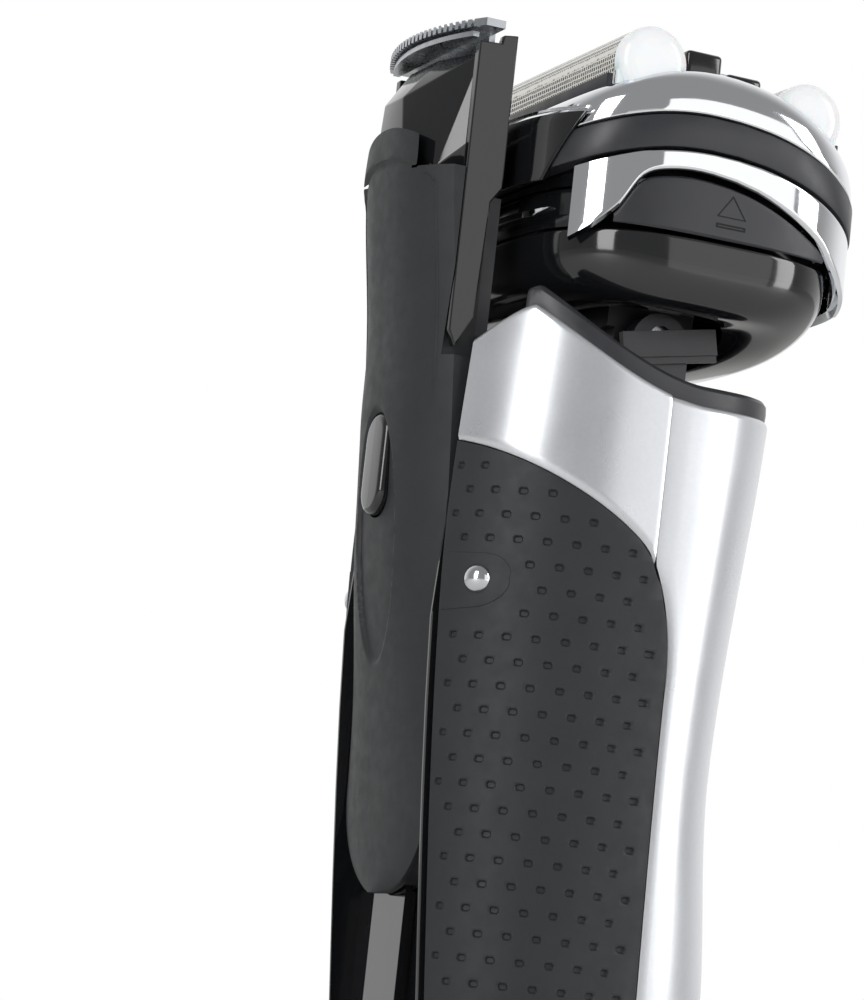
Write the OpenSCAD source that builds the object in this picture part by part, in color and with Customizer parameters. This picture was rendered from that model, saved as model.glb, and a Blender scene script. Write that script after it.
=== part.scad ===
// Foil shaver with a pivoting head, a lift-off foil cassette and a slide-out long-hair trimmer.
// +Z runs up the handle, the power button faces -Y and the trimmer rides on the +Y side.
// The origin is the middle of the handle's section, on the surface that the base stands on.

/* [Handle] */
// Width of the handle at the neck
neck_w = 56; // [50:0.5:62]
// Width of the handle at the base
base_w = 44; // [40:0.5:50]
// Height of the handle's rim at its lowest point, on the side
rim_z = 119.6; // [112:0.1:126]
// Reach of the front at the base, ahead of the section's middle
front_base = 16; // [14:0.1:19]
// Reach of the front at the lower bulge
front_bulge = 18.9; // [17:0.1:22]
// Reach of the front at the waist
front_waist = 15.8; // [14.5:0.1:19]
// Reach of the front at the neck
front_neck = 19.5; // [18:0.1:23]
// Reach of the back at the base
back_base = 18; // [16.5:0.1:21]
// Reach of the back at its fullest, under the trimmer's button
back_full = 26; // [24:0.1:28]
// Thickness of the front and side panels
panel_wall = 1.8; // [1.2:0.1:2.4]
// Thickness of the rubber grips
grip_wall = 1.6; // [1.2:0.1:2.2]
// Gap between two neighbouring panels
panel_gap = 0.15; // [0.1:0.05:0.3]
// Height of the dark collar on the rim
collar_h = 2.6; // [2:0.1:3.2]
// Height of the base cap
base_h = 9; // [7:0.5:12]

/* [Battery and board] */
// Diameter of the battery cell
cell_d = 14.2; // [13:0.1:15]
// Length of the battery cell
cell_l = 50; // [40:1:60]
// Thickness of the circuit boards
board_t = 1.2; // [0.8:0.1:1.6]

/* [Controls] */
// Diameter of the power button
button_d = 13; // [10:0.5:16]
// Travel of the power button
button_travel = 0.7; // [0.4:0.1:1]
// Height of the power button's middle
button_z = 84; // [78:0.5:90]
// Height of the lock slider's middle
lock_z = 105.5; // [103:0.5:106]
// Travel of the lock slider, to each side
lock_travel = 2; // [1:0.1:3]
// Width of the display window
window_w = 13; // [10:0.5:16]
// Height of the display window
window_h = 26; // [20:0.5:32]

/* [Charging] */
// Width of the charging inlet
inlet_w = 11; // [9:0.5:13]
// Depth of the inlet from front to back
inlet_d = 7; // [6:0.5:9]
// Height of the inlet's recess
inlet_h = 11; // [9:0.5:13]
// Diameter of the two inlet pins
inlet_pin_d = 2; // [1.4:0.1:2.4]
// Distance between the inlet pins
inlet_pin_pitch = 4.8; // [4.2:0.1:6]
// Diameter of the two contact studs on the grips
stud_d = 4; // [3:0.1:5]

/* [Head] */
// Length of the head from end to end
head_l = 56; // [52:0.5:60]
// Depth of the head from front to back
head_d = 46.2; // [42:0.2:50]
// Height of the head's pivot axis
pivot_z = 129.4; // [127:0.1:132]
// Height of the cassette's parting line above the pivot, at the middle of an end
part_up = 22; // [20:0.1:24]
// Height of the dark band
band_h = 4.2; // [3:0.1:5]
// Height of the bright frame above the band, at the middle of an end
frame_h = 7; // [6:0.1:8]
// Thickness of the head's shells
head_wall = 1.6; // [1.2:0.1:2.2]
// Outside radius of a foil's arch
foil_r = 4.7; // [4:0.1:5.4]
// Distance between the two foils
foil_pitch = 22.5; // [21:0.1:24]
// Length of a foil
foil_l = 45; // [40:0.5:48]
// Stroke of a cutter to each side
stroke = 1.2; // [0.6:0.1:1.5]
// Float of a foil under pressure
foil_float = 2.4; // [1:0.1:3]
// Diameter of the two drive pins
drive_pin_d = 2.4; // [1.8:0.1:3]
// Radial clearance of a running fit
run_clear = 0.05; // [0.02:0.01:0.1]
// Clearance around a part that slides or swings
move_clear = 0.35; // [0.25:0.05:0.6]
// Diameter of the pivot pins
pivot_pin_d = 3; // [2:0.1:4]
// Travel of a release button
release_travel = 1.4; // [0.8:0.1:2]

/* [Trimmer] */
// Width of the trimmer
trim_w = 27.2; // [24:0.2:28]
// Height of the trimmer's blade, extended
trim_top = 166; // [160:0.5:170]
// Travel of the trimmer
trim_travel = 24; // [16:1:26]
// Radius of the comb blade's curved edge
comb_r = 34; // [28:1:60]
// Number of teeth on the comb blade
comb_teeth = 25; // [15:2:31]
// Travel of the trimmer's button
trim_button_travel = 1; // [0.6:0.1:1.4]

/* [Hidden] */
$fn = 48;
eps = 0.01;
mid_y = -3;
front_n = 3.0;
back_n = 2.6;
bulge_z = 43;
waist_z = 75;
full_z = 97;
top_z = 130;

// Grip outline on the side: corner height, edge place and the sweep of its top edge
seam_y = -2.3;
grip_corner_z = 82.7;
grip_edge_y = -5.5;
grip_turn_y = -1.8;
grip_turn_z = 99.5;
grip_rise = 12.7;
grip_back_y = 20.8;
rail_x = trim_w / 2 + 0.8;
cover_x = rail_x + 0.75;

// Place of the charging inlet, ahead of the origin
inlet_y = -8;

// Head layout
pivot_y = -5;
head_y = -8;
head_n = 3.5;
part_z = pivot_z + part_up;
band_drop = 6.3;
frame_drop = 7.6;
forward_lean = 0.07;
foil_step = 1.45;
crease_z = pivot_z + 10.9;
foil_z = part_z + band_h + 6.6;
tray_low = part_z - 5.5;
tray_t = 1.6;
cheek_x = 14;
cheek_t = 3;
swing_r = 9.6;

// Trimmer layout, in the extended place
rail_y = 14.6;
rail_stem = 1.2;
rail_lip = 0.8;
carriage_y = rail_y + 0.4;
plate_y = 17.4;
pad_seat = 17.6;
pad_low = 56;
pad_top = trim_top - 12;
trim_button_z = 110;
trim_button_r = 3.2;
rail_low = pad_low - trim_travel - 1;

chrome = "#dfe1e4";
silver = "#d3d5d8";
rubber = "#3b3c3f";
gloss_black = "#17181a";
mid_black = "#26272a";
steel = "#b9bcc0";

// ---------- curves and surfaces ----------

function power(v, p) = sign(v) * pow(abs(v), p);
function mix(a, b, f) = a + (b - a) * f;
function knot(z, t, i = 0) = (i >= len(t) - 2 || z < t[i + 1][0]) ? i : knot(z, t, i + 1);
function slope(t, i) = i == 0 ? (t[1][1] - t[0][1]) / (t[1][0] - t[0][0])
    : i == len(t) - 1 ? (t[i][1] - t[i - 1][1]) / (t[i][0] - t[i - 1][0])
    : (t[i + 1][1] - t[i - 1][1]) / (t[i + 1][0] - t[i - 1][0]);

// A smooth curve through a few named points
function smooth(z, t) = let (i = knot(z, t), h = t[i + 1][0] - t[i][0], s = (z - t[i][0]) / h)
    (2 * s * s * s - 3 * s * s + 1) * t[i][1] + (s * s * s - 2 * s * s + s) * h * slope(t, i)
    + (3 * s * s - 2 * s * s * s) * t[i + 1][1] + (s * s * s - s * s) * h * slope(t, i + 1);

// Half width, and reach to the front and the back, of the handle at a height
function half_w(z) = mix(base_w, neck_w, sin(90 * min(1, z / top_z))) / 2;
front_line = [[0, front_base], [bulge_z, front_bulge], [waist_z, front_waist], [rim_z, front_neck],
    [top_z, front_neck]];
back_line = [[0, back_base], [45, mix(back_base, back_full, 0.58)], [full_z, back_full], [top_z,
    back_full - 1.4]];
function reach(z, front) = front ? smooth(z, front_line) : smooth(z, back_line);

// Section normal, then a surface point by angle or by its place from front to back, sunk by off
function normal(x, y, z) = let (f = y < mid_y, n = f ? front_n : back_n, b = reach(z, f), a = half_w(z),
    v = [sign(x) * pow(abs(x) / a, n - 1) / a, sign(y - mid_y) * pow(abs(y - mid_y) / b, n - 1) / b])
        v / norm(v);
function sunk(x, y, z, off) = let (n = normal(x, y, z)) [x - off * n[0], y - off * n[1], z];
function at_angle(t, z, off = 0) = let (f = sin(t) < 0, n = f ? front_n : back_n)
    sunk(half_w(z) * power(cos(t), 2 / n), mid_y + reach(z, f) * power(sin(t), 2 / n), z, off);
function at_depth(y, z, off = 0) = let (f = y < mid_y, n = f ? front_n : back_n)
    sunk(half_w(z) * pow(max(0, 1 - pow(abs(y - mid_y) / reach(z, f), n)), 1 / n), y, z, off);
function angle_at(y, z) = let (f = y < mid_y, n = f ? front_n : back_n)
    sign(y - mid_y) * asin(pow(abs(y - mid_y) / reach(z, f), n / 2));
function back_at(x, z) = mid_y + reach(z, false) * pow(1 - pow(x / half_w(z), back_n), 1 / back_n);

// Height of the rim, which dips on the sides and peaks at the back corners
function rim(y) = y < -7 ? rim_z + 1.1 * pow((-y - 7) / 16, 2)
    : y < 15.5 ? rim_z + 9.9 * pow((y + 7) / 22.5, 1.7) : rim_z + 9.9 - 4.5 * pow((y - 15.5) / 4.8, 1.5);

// The grip's front edge by height, and its swept top edge by depth
function grip_front(z) = z < grip_corner_z ? grip_edge_y - 4 * pow((grip_corner_z - z) / grip_corner_z, 1.4)
    : z < grip_turn_z
        ? mix(grip_edge_y, grip_turn_y, pow((z - grip_corner_z) / (grip_turn_z - grip_corner_z), 2.6))
            : seam_y;
function grip_top(y) = y < grip_turn_y
    ? mix(grip_corner_z, grip_turn_z, pow(max(0, y - grip_edge_y) / (grip_turn_y - grip_edge_y), 1 / 2.6))
    : grip_turn_z + grip_rise * pow((y - grip_turn_y) / (grip_back_y - grip_turn_y), 0.72);
function panel_edge(z) = z < grip_turn_z ? min(grip_front(z), seam_y) - panel_gap : seam_y - panel_gap / 2;

// A closed shell between an outer and an inner grid of points
module grid_shell(outer, inner) {
    m = len(outer);
    n = len(outer[0]);
    function o(i, j) = i * n + j;
    function k(i, j) = m * n + i * n + j;
    pts = concat([for (r = outer) each r], [for (r = inner) each r]);
    cells = [for (i = [0 : m - 2], j = [0 : n - 2]) each [
        [o(i, j), o(i + 1, j), o(i + 1, j + 1)], [o(i, j), o(i + 1, j + 1), o(i, j + 1)],
        [k(i, j), k(i + 1, j + 1), k(i + 1, j)], [k(i, j), k(i, j + 1), k(i + 1, j + 1)]]];
    ends = [for (j = [0 : n - 2]) each [
        [o(0, j), o(0, j + 1), k(0, j + 1)], [o(0, j), k(0, j + 1), k(0, j)],
        [o(m - 1, j), k(m - 1, j), k(m - 1, j + 1)], [o(m - 1, j), k(m - 1, j + 1), o(m - 1, j + 1)]]];
    sides = [for (i = [0 : m - 2]) each [
        [o(i, 0), k(i, 0), k(i + 1, 0)], [o(i, 0), k(i + 1, 0), o(i + 1, 0)],
        [o(i, n - 1), o(i + 1, n - 1), k(i + 1, n - 1)], [o(i, n - 1), k(i + 1, n - 1), k(i, n - 1)]]];
    polyhedron(pts, concat(cells, ends, sides));
}

// A closed solid through rings of points, from the lowest to the highest
module loft(rings) {
    m = len(rings);
    n = len(rings[0]);
    function mean(r) = [for (a = [0 : 2]) let (s = [for (p = r) p[a]]) s * [for (q = s) 1] / len(s)];
    pts = concat([for (r = rings) each r], [mean(rings[0]), mean(rings[m - 1])]);
    walls = [for (i = [0 : m - 2], j = [0 : n - 1]) let (q = (j + 1) % n) each [
        [i * n + j, (i + 1) * n + q, i * n + q], [i * n + j, (i + 1) * n + j, (i + 1) * n + q]]];
    caps = [for (j = [0 : n - 1]) let (q = (j + 1) % n) each [
        [m * n, j, q], [m * n + 1, (m - 1) * n + q, (m - 1) * n + j]]];
    polyhedron(pts, concat(walls, caps));
}

// A closed hoop: each station is a closed outline, and the last joins the first
module hoop(stations) {
    m = len(stations);
    n = len(stations[0]);
    pts = [for (r = stations) each r];
    faces = [for (i = [0 : m - 1], j = [0 : n - 1]) let (u = (i + 1) % m, v = (j + 1) % n) each [
        [i * n + j, i * n + v, u * n + v], [i * n + j, u * n + v, u * n + j]]];
    polyhedron(pts, faces);
}

// A coil spring along +Z
module coil_spring(radius, height, turns, wire) {
    steps = turns * 9;
    rings = [for (i = [0 : steps]) let (t = i * 40, z = wire + (height - 2 * wire) * i / steps)
        [for (j = [0 : 4]) [(radius + wire * cos(72 * j)) * cos(t), (radius + wire * cos(72 * j)) * sin(t),
            z + wire * sin(72 * j)]]];
    loft([for (r = rings) [for (j = [4 : -1 : 0]) r[j]]]);
}

module block(low, high) {
    translate(low) cube(high - low);
}

module both_sides() {
    children();
    mirror([1, 0, 0]) children();
}

module along_y(p) {
    translate(p) rotate([90, 0, 0]) children();
}

module along_x(p) {
    translate(p) rotate([0, 90, 0]) children();
}

// ---------- handle ----------

function body_outline(z, off, cut) = [for (t = [0 : 5 : 355]) let (p = at_angle(t, z, off)) [p[0],
    min(p[1], cut)]];

module front_panel() {
    rows = [for (v = [0 : 1 / 22 : 1 + eps]) base_h + panel_gap + v * (rim_z - base_h - panel_gap)];
    function at(u, z, off) = let (edge = angle_at(panel_edge(z), z), t = -90 + u * (90 + edge),
        y = at_angle(t, z)[1], zz = mix(base_h + panel_gap, rim(y), (z - rows[0]) / (rim_z - rows[0])))
        at_angle(t, zz, off);
    color(silver) difference() {
        grid_shell([for (z = rows) [for (u = [-1 : 1 / 13 : 1 + eps]) at(u, z, 0)]],
            [for (z = rows) [for (u = [-1 : 1 / 13 : 1 + eps]) at(u, z, panel_wall)]]);
        along_y([0, -10, button_z]) cylinder(d = button_d + 4 + 2 * panel_gap, h = 20);
        block([-8.2, -30, lock_z - 5.2], [8.2, -10, lock_z + 5.2]);
        block([-window_w / 2 - panel_gap, -30, 16 - panel_gap],
            [window_w / 2 + panel_gap, -10, 16 + window_h + panel_gap]);
    }
}

module side_panel() {
    function at(f, v, off) = let (y0 = mix(seam_y + panel_gap / 2, back_at(cover_x, rim_z), f),
        z0 = mix(grip_top(y0) + 2 * panel_gap, rim(y0), v), y = mix(seam_y + panel_gap / 2,
            back_at(cover_x, z0), f))
        at_depth(y, z0, off);
    fs = [for (i = [0 : 11]) i / 11];
    vs = [for (i = [0 : 7]) i / 7];
    grid_shell([for (v = vs) [for (f = fs) at(f, v, 0)]], [for (v = vs) [for (f = fs) at(f, v, panel_wall)]]);
}

module side_panel_left() {
    color(silver) mirror([1, 0, 0]) side_panel();
}

module side_panel_right() {
    color(silver) side_panel();
}

// Where the contact stud sits on the right grip, and the way it points
stud_z = 94.8;
stud_y = 17.9;
stud_at = at_depth(stud_y, stud_z);
stud_n = normal(stud_at[0], stud_at[1], stud_z);
module at_stud() {
    translate(stud_at) rotate([0, 0, atan2(stud_n[1], stud_n[0])]) rotate([0, 90, 0]) children();
}

module grip() {
    low = base_h + panel_gap;
    function at(f, v, off) = let (y0 = mix(grip_edge_y, grip_back_y, f), z = mix(low, grip_top(y0), v),
        y = mix(min(grip_edge_y, grip_front(min(z, grip_corner_z))), back_at(cover_x, z), f)) at_depth(y,
            z, off);
    fs = [for (i = [0 : 15]) pow(i / 15, 1.6)];
    vs = [for (i = [0 : 16]) i / 16];
    difference() {
        grid_shell([for (v = vs) [for (f = fs) at(f, v, 0)]], [for (v = vs) [for (f = fs) at(f, v,
            grip_wall)]]);
        at_stud() translate([0, 0, -3]) cylinder(d = stud_d + 1.6, h = 6);
    }
}

module grip_left() {
    color(rubber) mirror([1, 0, 0]) grip();
}

module grip_right() {
    color(rubber) grip();
}

module contact_studs() {
    color(steel) both_sides() at_stud() {
        translate([0, 0, -3]) cylinder(d = stud_d - 1, h = 3);
        intersection() {
            translate([0, 0, -1]) sphere(d = stud_d + 0.2);
            translate([0, 0, -0.5]) cylinder(d = stud_d + 1, h = 3);
        }
    }
}

module rear_cover() {
    color(gloss_black) {
        // Channel floor, with a foot that fills the back below the channel
        translate([-rail_x, 0, 0]) rotate([90, 0, 90]) linear_extrude(2 * rail_x) polygon(concat(
            [[rail_y - 2, 127], [rail_y, 127], [rail_y, 29]],
            [for (z = [27, 20, 14, base_h + panel_gap]) [back_at(cover_x, z), z]],
            [[rail_y - 4, base_h + panel_gap], [rail_y - 4, 24], [rail_y - 2, 29]]));
        // T rail that the trimmer rides on
        block([-3, rail_y - eps, rail_low], [3, rail_y + rail_stem, 124]);
        block([-5, rail_y + rail_stem - eps, rail_low], [5, rail_y + rail_stem + rail_lip, 124]);
        // Side walls of the channel
        both_sides() translate([trim_w / 2 + 0.3, 0, 0]) rotate([90, 0, 90])
            linear_extrude(rail_x - trim_w / 2 - 0.45)
            polygon(concat([[rail_y - 1, 124], [rail_y - 1, 28]], [for (z = [27, 34, 42, 50, 60, 70, 80,
                90, 97])
                    [back_at(cover_x, z) + (z > 30 && z < 95 ? 0.6 : 0), z]],
                [for (z = [104, 112, 118]) [back_at(cover_x, z) - 0.5, z]], [[back_at(cover_x, 118)
                    - 1.6, 124]]));
    }
}

module neck_collar() {
    rows = [[0, 0.3], [0.1, collar_h * 0.75], [0.9, collar_h]];
    ts = [for (i = [0 : 44]) mix(-90 - 90 - 46, -90 + 90 + 46, i / 44)];
    function at(t, off, up) = let (p = at_angle(t, rim_z)) at_angle(t, rim(min(p[1], 20.3)) + up, off);
    color(mid_black) grid_shell([for (r = rows) [for (t = ts) at(t, r[0] + 0.2, r[1])]],
        [for (r = rows) [for (t = ts) at(t, 3.2, r[1])]]);
}

module neck_deck() {
    color(mid_black) difference() {
        translate([0, 0, rim_z - 8]) linear_extrude(4) polygon(body_outline(rim_z - 6, panel_wall + 0.3,
            rail_y - 2.1));
        translate([0, pivot_y, rim_z - 9]) cylinder(d = 7, h = 8);
    }
}

module base_cap() {
    rings = [[0, 3.2], [0.8, 1.5], [2.4, 0.5], [base_h, 0]];
    color(mid_black) difference() {
        loft([for (r = rings) [for (t = [0 : 7.5 : 352.5]) let (p = at_angle(t, 3, r[1])) [p[0], p[1],
            r[0]]]]);
        translate([0, 0, 2.6]) linear_extrude(base_h) polygon(body_outline(6, 3, 30));
        block([-inlet_w / 2 - 1.6, inlet_y - inlet_d / 2 - 1.6, -1], [inlet_w / 2 + 1.6,
            inlet_y + inlet_d / 2 + 1.6, 4]);
    }
}

module base_seal() {
    color("#202124") translate([0, 0, base_h - 1.6]) linear_extrude(1.4) difference() {
        polygon(body_outline(8, 3.3, 12.2));
        polygon(body_outline(8, 4.9, 10.8));
    }
}

module inlet_insert() {
    color(mid_black) difference() {
        block([-inlet_w / 2 - 1.5, inlet_y - inlet_d / 2 - 1.5, 0.3],
            [inlet_w / 2 + 1.5, inlet_y + inlet_d / 2 + 1.5, inlet_h + 3]);
        block([-inlet_w / 2, inlet_y - inlet_d / 2, -1], [inlet_w / 2, inlet_y + inlet_d / 2, inlet_h + 0.3]);
        both_sides() translate([inlet_pin_pitch / 2, inlet_y, inlet_h]) cylinder(d = inlet_pin_d, h = 4);
    }
}

module inlet_pins() {
    color(steel) both_sides() translate([inlet_pin_pitch / 2, inlet_y, 3]) cylinder(d = inlet_pin_d,
        h = inlet_h + 2);
}

chassis_high = rim_z - 8.3;
module inner_chassis() {
    color("#515257") difference() {
        translate([0, 0, base_h + 0.3]) linear_extrude(chassis_high - base_h - 0.3)
            polygon(body_outline(9, panel_wall + 1.2, rail_y - 4.3));
        translate([0, 0, base_h - 1]) linear_extrude(chassis_high)
            polygon(body_outline(9, panel_wall + 2.7, rail_y - 5.6));
        along_y([0, -10, button_z]) cylinder(d = button_d + 5, h = 20);
        block([-10, -30, lock_z - 6], [10, -10, lock_z + 20]);
        block([-window_w / 2 - 1, -30, 15], [window_w / 2 + 1, -10, 17 + window_h]);
    }
}

cell_y = -1.5;
cell_z = 24;
module battery_cell() {
    color("#4c7a58") translate([0, cell_y, cell_z]) cylinder(d = cell_d, h = cell_l);
    color(steel) translate([0, cell_y, cell_z + cell_l - eps]) cylinder(d = 5, h = 1.2);
}

module battery_tabs() {
    color(steel) {
        block([-2.5, cell_y - 3, cell_z - 0.4], [2.5, board_y, cell_z - 0.1]);
        block([-2.5, cell_y - 3, cell_z + cell_l + 1.25], [2.5, board_y, cell_z + cell_l + 1.55]);
    }
}

board_y = 7.4;
module circuit_board() {
    color("#1f5a3c") block([-12, board_y, 18], [12, board_y + board_t, 104]);
    color("#202124") {
        block([-5, board_y - 1.4, 84], [5, board_y, 94]);
        block([4, board_y - 1, 96], [9, board_y, 101]);
    }
    color(steel) for (z = [28 : 8 : 60]) block([9, board_y - 0.9, z], [11, board_y, z + 3]);
}

window_face = mid_y - reach(16 + window_h / 2, true);
module display_window() {
    rows = [for (i = [0 : 6]) mix(16, 16 + window_h, i / 6)];
    cols = [for (i = [0 : 6]) mix(-window_w / 2, window_w / 2, i / 6)];
    function front_y(x, z) = mid_y - reach(z, true) * pow(1 - pow(abs(x) / half_w(z), front_n), 1 / front_n);
    function at(x, z, off) = sunk(x, front_y(x, z), z, off);
    color("#101114")
        grid_shell([for (z = rows) [for (x = cols) at(x, z, 0.1)]], [for (z = rows) [for (x = cols) at(x,
            z, 1.5)]]);
}

module display_board() {
    color("#1f5a3c") block([-window_w / 2 + 1, window_face + 5, 17],
        [window_w / 2 - 1, window_face + 5 + board_t, 15 + window_h]);
    color("#e8e8e8") for (z = [20 : 4 : 36]) block([-1, window_face + 4.2, z], [1, window_face + 5, z + 2]);
}

button_face = mid_y - reach(button_z, true);
module power_switch() {
    color("#2b2c2f") along_y([0, button_face + 8, button_z]) cylinder(d = 7, h = 2.4);
    color(steel) along_y([0, button_face + 5.6 + eps, button_z]) cylinder(d = 3, h = 0.7);
    color("#1f5a3c") block([-7, button_face + 8, button_z - 5], [7, button_face + 8 + board_t, button_z + 5]);
}

module power_ring() {
    color(chrome) along_y([0, button_face + 3.2, button_z]) difference() {
        cylinder(d = button_d + 4, h = 3.6);
        translate([0, 0, -1]) cylinder(d = button_d + 2 * move_clear, h = 6);
    }
}

module power_button() {
    color("#b9bcc0") along_y([0, button_face + 2.8, button_z]) difference() {
        cylinder(d = button_d, h = 3.4);
        translate([0, 0, 33.3]) sphere(r = 30.4, $fn = 120);
    }
    color(mid_black) along_y([0, button_face + 4.8 - button_travel - eps, button_z]) cylinder(d = 3,
        h = 2 - button_travel);
}

lock_face = mid_y - reach(lock_z, true);
module lock_plate() {
    color(gloss_black) difference() {
        block([-8, lock_face + 0.3, lock_z - 5], [8, lock_face + 3.2, lock_z + 5]);
        block([-4.6 - lock_travel, lock_face - 1, lock_z - 3.2], [4.6 + lock_travel, lock_face + 1.6,
            lock_z + 3.2]);
        block([-2.4 - lock_travel, lock_face - 1, lock_z - 1.4], [2.4 + lock_travel, lock_face + 5,
            lock_z + 1.4]);
    }
}

module lock_slider() {
    color(chrome) {
        difference() {
            block([-4.2, lock_face - 0.4, lock_z - 2.8], [4.2, lock_face + 1.3, lock_z + 2.8]);
            for (x = [-3 : 1.5 : 3]) block([x - 0.3, lock_face - 1, lock_z - 2.2], [x + 0.3,
                lock_face - 0.1, lock_z + 2.2]);
        }
        block([-2, lock_face + 1.3 - eps, lock_z - 1], [2, lock_face + 4.4, lock_z + 1]);
    }
}

module housing_screws() {
    color(steel) both_sides() for (z = [14, 100]) along_y([13.3, rail_y - 4.2, z]) difference() {
        union() {
            cylinder(d = 3.6, h = 1.2);
            cylinder(d = 1.8, h = 7);
        }
        translate([0, 0, -1]) cylinder(d = 1.6, h = 1.6, $fn = 6);
    }
}

// ---------- head pivot ----------

module pivot_yokes() {
    color(mid_black) both_sides() difference() {
        union() {
            block([cheek_x, pivot_y - 4, rim_z - 4], [cheek_x + cheek_t, pivot_y + 4, pivot_z - 1]);
            along_x([cheek_x, pivot_y, pivot_z - 1]) cylinder(r = 4, h = cheek_t);
        }
        along_x([cheek_x - 1, pivot_y, pivot_z]) cylinder(d = pivot_pin_d, h = cheek_t + 3);
    }
    // Polished bars on the outside of the cheeks
    color(steel) both_sides() along_x([cheek_x + cheek_t - eps, pivot_y - 1, pivot_z - 1.2]) rotate([0,
        0, -11])
        difference() {
            translate([-2.1, -6.6, 0]) cube([4.2, 13.2, 1]);
            translate([1.2, -7, 0.6]) cube([2, 14, 2]);
        }
}

module pivot_pins() {
    color(steel) both_sides() along_x([cheek_x - 3.5, pivot_y, pivot_z]) cylinder(d = pivot_pin_d, h = 5.5);
}

// ---------- head ----------

// A point on the head's plan outline, drawn in by off
function head_at(t, off = 0) = [(head_l / 2 - off) * power(cos(t), 2 / head_n),
    head_y + (head_d / 2 - off) * power(sin(t), 2 / head_n)];
function away(y) = pow(abs(y - head_y) / (head_d / 2), 2);
function lean(y) = forward_lean * (y - head_y);
function part_line(y) = part_z - band_drop * away(y) + lean(y);
function band_line(y) = part_line(y) + band_h;
function frame_line(y) = part_z + band_h + frame_h - 0.3 - frame_drop * min(1, away(y)) + lean(y);

// The rear foil stands higher than the front one
function foil_at(s) = foil_z - foil_step + s * foil_step;
// Edge between the black button and the bright frame, by depth
arch_line = [[-30, pivot_z + 6.6], [-24.5, pivot_z + 10.6], [-21, pivot_z + 13.6], [-12, pivot_z + 17.6],
    [-4.4, pivot_z + 18.9], [1.5, pivot_z + 18.5], [4.6, pivot_z + 17.1], [7.1, pivot_z + 13],
    [12, pivot_z + 8.2], [15, pivot_z + 6.6]];
function arch(y) = smooth(max(-30, min(15, y)), arch_line);

// The pod is a bowl with a chin at the front. Its mouth below clears the yokes through the whole swing
module head_pod() {
    vs = [0, 0.3, 0.55, 0.75, 0.9, 1];
    function chin(t) = pow(max(0, -sin(t)), 5);
    function outer(t, v) = let (q = 1 - sqrt(max(0, 1 - pow(v, 2.4))),
        z = mix(crease_z, pivot_z + 2.4 - 3.5 * chin(t), v),
        l = head_l / 2 - 0.3 - 3.4 * q, f = head_y - head_d / 2 + 2.2 + (8.7 + 2.6 * chin(t)) * q,
        b = head_y + head_d / 2 - 1.9 - 5.6 * q, n = 3.2)
        [l * power(cos(t), 2 / n), (f + b) / 2 + (b - f) / 2 * power(sin(t), 2 / n), z];
    function inner(t, z) = [mix(20.2, head_l / 2 - 3.4, z) * power(cos(t), 2 / 4), mid_pod(z) + reach_pod(z)
        * power(sin(t), 2 / 4),
        z > 0 ? crease_z : outer(t, 1)[2]];
    function mid_pod(z) = mix(pivot_y, head_y + 0.2, z);
    function reach_pod(z) = mix(swing_r + 0.4, head_d / 2 - 3.9, z);
    color(mid_black) hoop([for (t = [0 : 7.5 : 352.5])
        concat([inner(t, 1)], [inner(t, 0)], [for (k = [5 : -1 : 0]) outer(t, vs[k])])]);
}

// The hub that the pivot pins turn in, with its foot up inside the pod
module head_hub() {
    color(mid_black) difference() {
        union() {
            along_x([-cheek_x + 0.5, pivot_y, pivot_z]) cylinder(r = 5, h = 2 * cheek_x - 1);
            block([-cheek_x + 0.5, pivot_y - 6, pivot_z + 1], [cheek_x - 0.5, pivot_y + 6, motor_z]);
        }
        along_x([-40, pivot_y, pivot_z]) cylinder(d = pivot_pin_d + 2 * run_clear, h = 80);
    }
}

module head_frame() {
    ts = [for (i = [0 : 96]) mix(-90 - 144, -90 + 144, i / 96)];
    vs = [for (i = [0 : 4]) i / 4];
    function at(t, v, off) = let (q = head_at(t, off))
        [q[0], q[1], mix(arch(q[1]) + 0.3, part_line(head_at(t)[1]) - 0.25, v)];
    color(chrome) grid_shell([for (v = vs) [for (t = ts) at(t, v, 0)]],
        [for (v = vs) [for (t = ts) at(t, v, head_wall)]]);
}

// Half length of the deck, which leaves the release buttons room to be pressed
deck_half = head_l / 2 - 4.8 - release_travel;
module head_deck() {
    color(gloss_black) difference() {
        union() {
            translate([0, 0, crease_z + 0.2]) linear_extrude(1.6)
                polygon([for (t = [0 : 7.5 : 352.5]) let (p = head_at(t, 2)) [max(-deck_half,
                    min(deck_half, p[0])), p[1]]]);
            // Inner wall behind the buttons and along the back
            translate([0, 0, crease_z + 1.8 - eps])
                linear_extrude(tray_low - move_clear - crease_z - 1.8) difference() {
                polygon([for (t = [0 : 7.5 : 352.5]) let (p = head_at(t, 2.6)) [max(-deck_half,
                    min(deck_half, p[0])), p[1]]]);
                polygon([for (t = [0 : 7.5 : 352.5]) let (p = head_at(t, 3.9)) [max(1.4 - deck_half,
                    min(deck_half - 1.4, p[0])), p[1]]]);
            }
        }
        for (s = [-1, 1]) translate([0, head_y + s * foil_pitch / 2, crease_z - 1]) {
            hull() for (x = [-1, 1]) translate([x * (stroke + 0.6), 0, 0]) cylinder(d = drive_pin_d + 2,
                h = 5, $fn = 32);
        }
    }
}

motor_z = pivot_z + 6;
module motor_coil() {
    color("#b4662f") for (x = [-6, 6]) along_y([x, head_y + 2, motor_z + 2.4]) difference() {
        cylinder(d = 4.8, h = 4);
        cube([2.2, 2.2, 14], center = true);
    }
}

module motor_core() {
    color("#6c6f73") {
        for (x = [-6, 6]) block([x - 1.1, head_y - 3, motor_z + 1.3], [x + 1.1, head_y + 2.4 + eps,
            motor_z + 3.5]);
        block([-9, head_y + 2.4, motor_z + 0.2], [9, head_y + 4.2, motor_z + 4.6]);
    }
}

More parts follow.
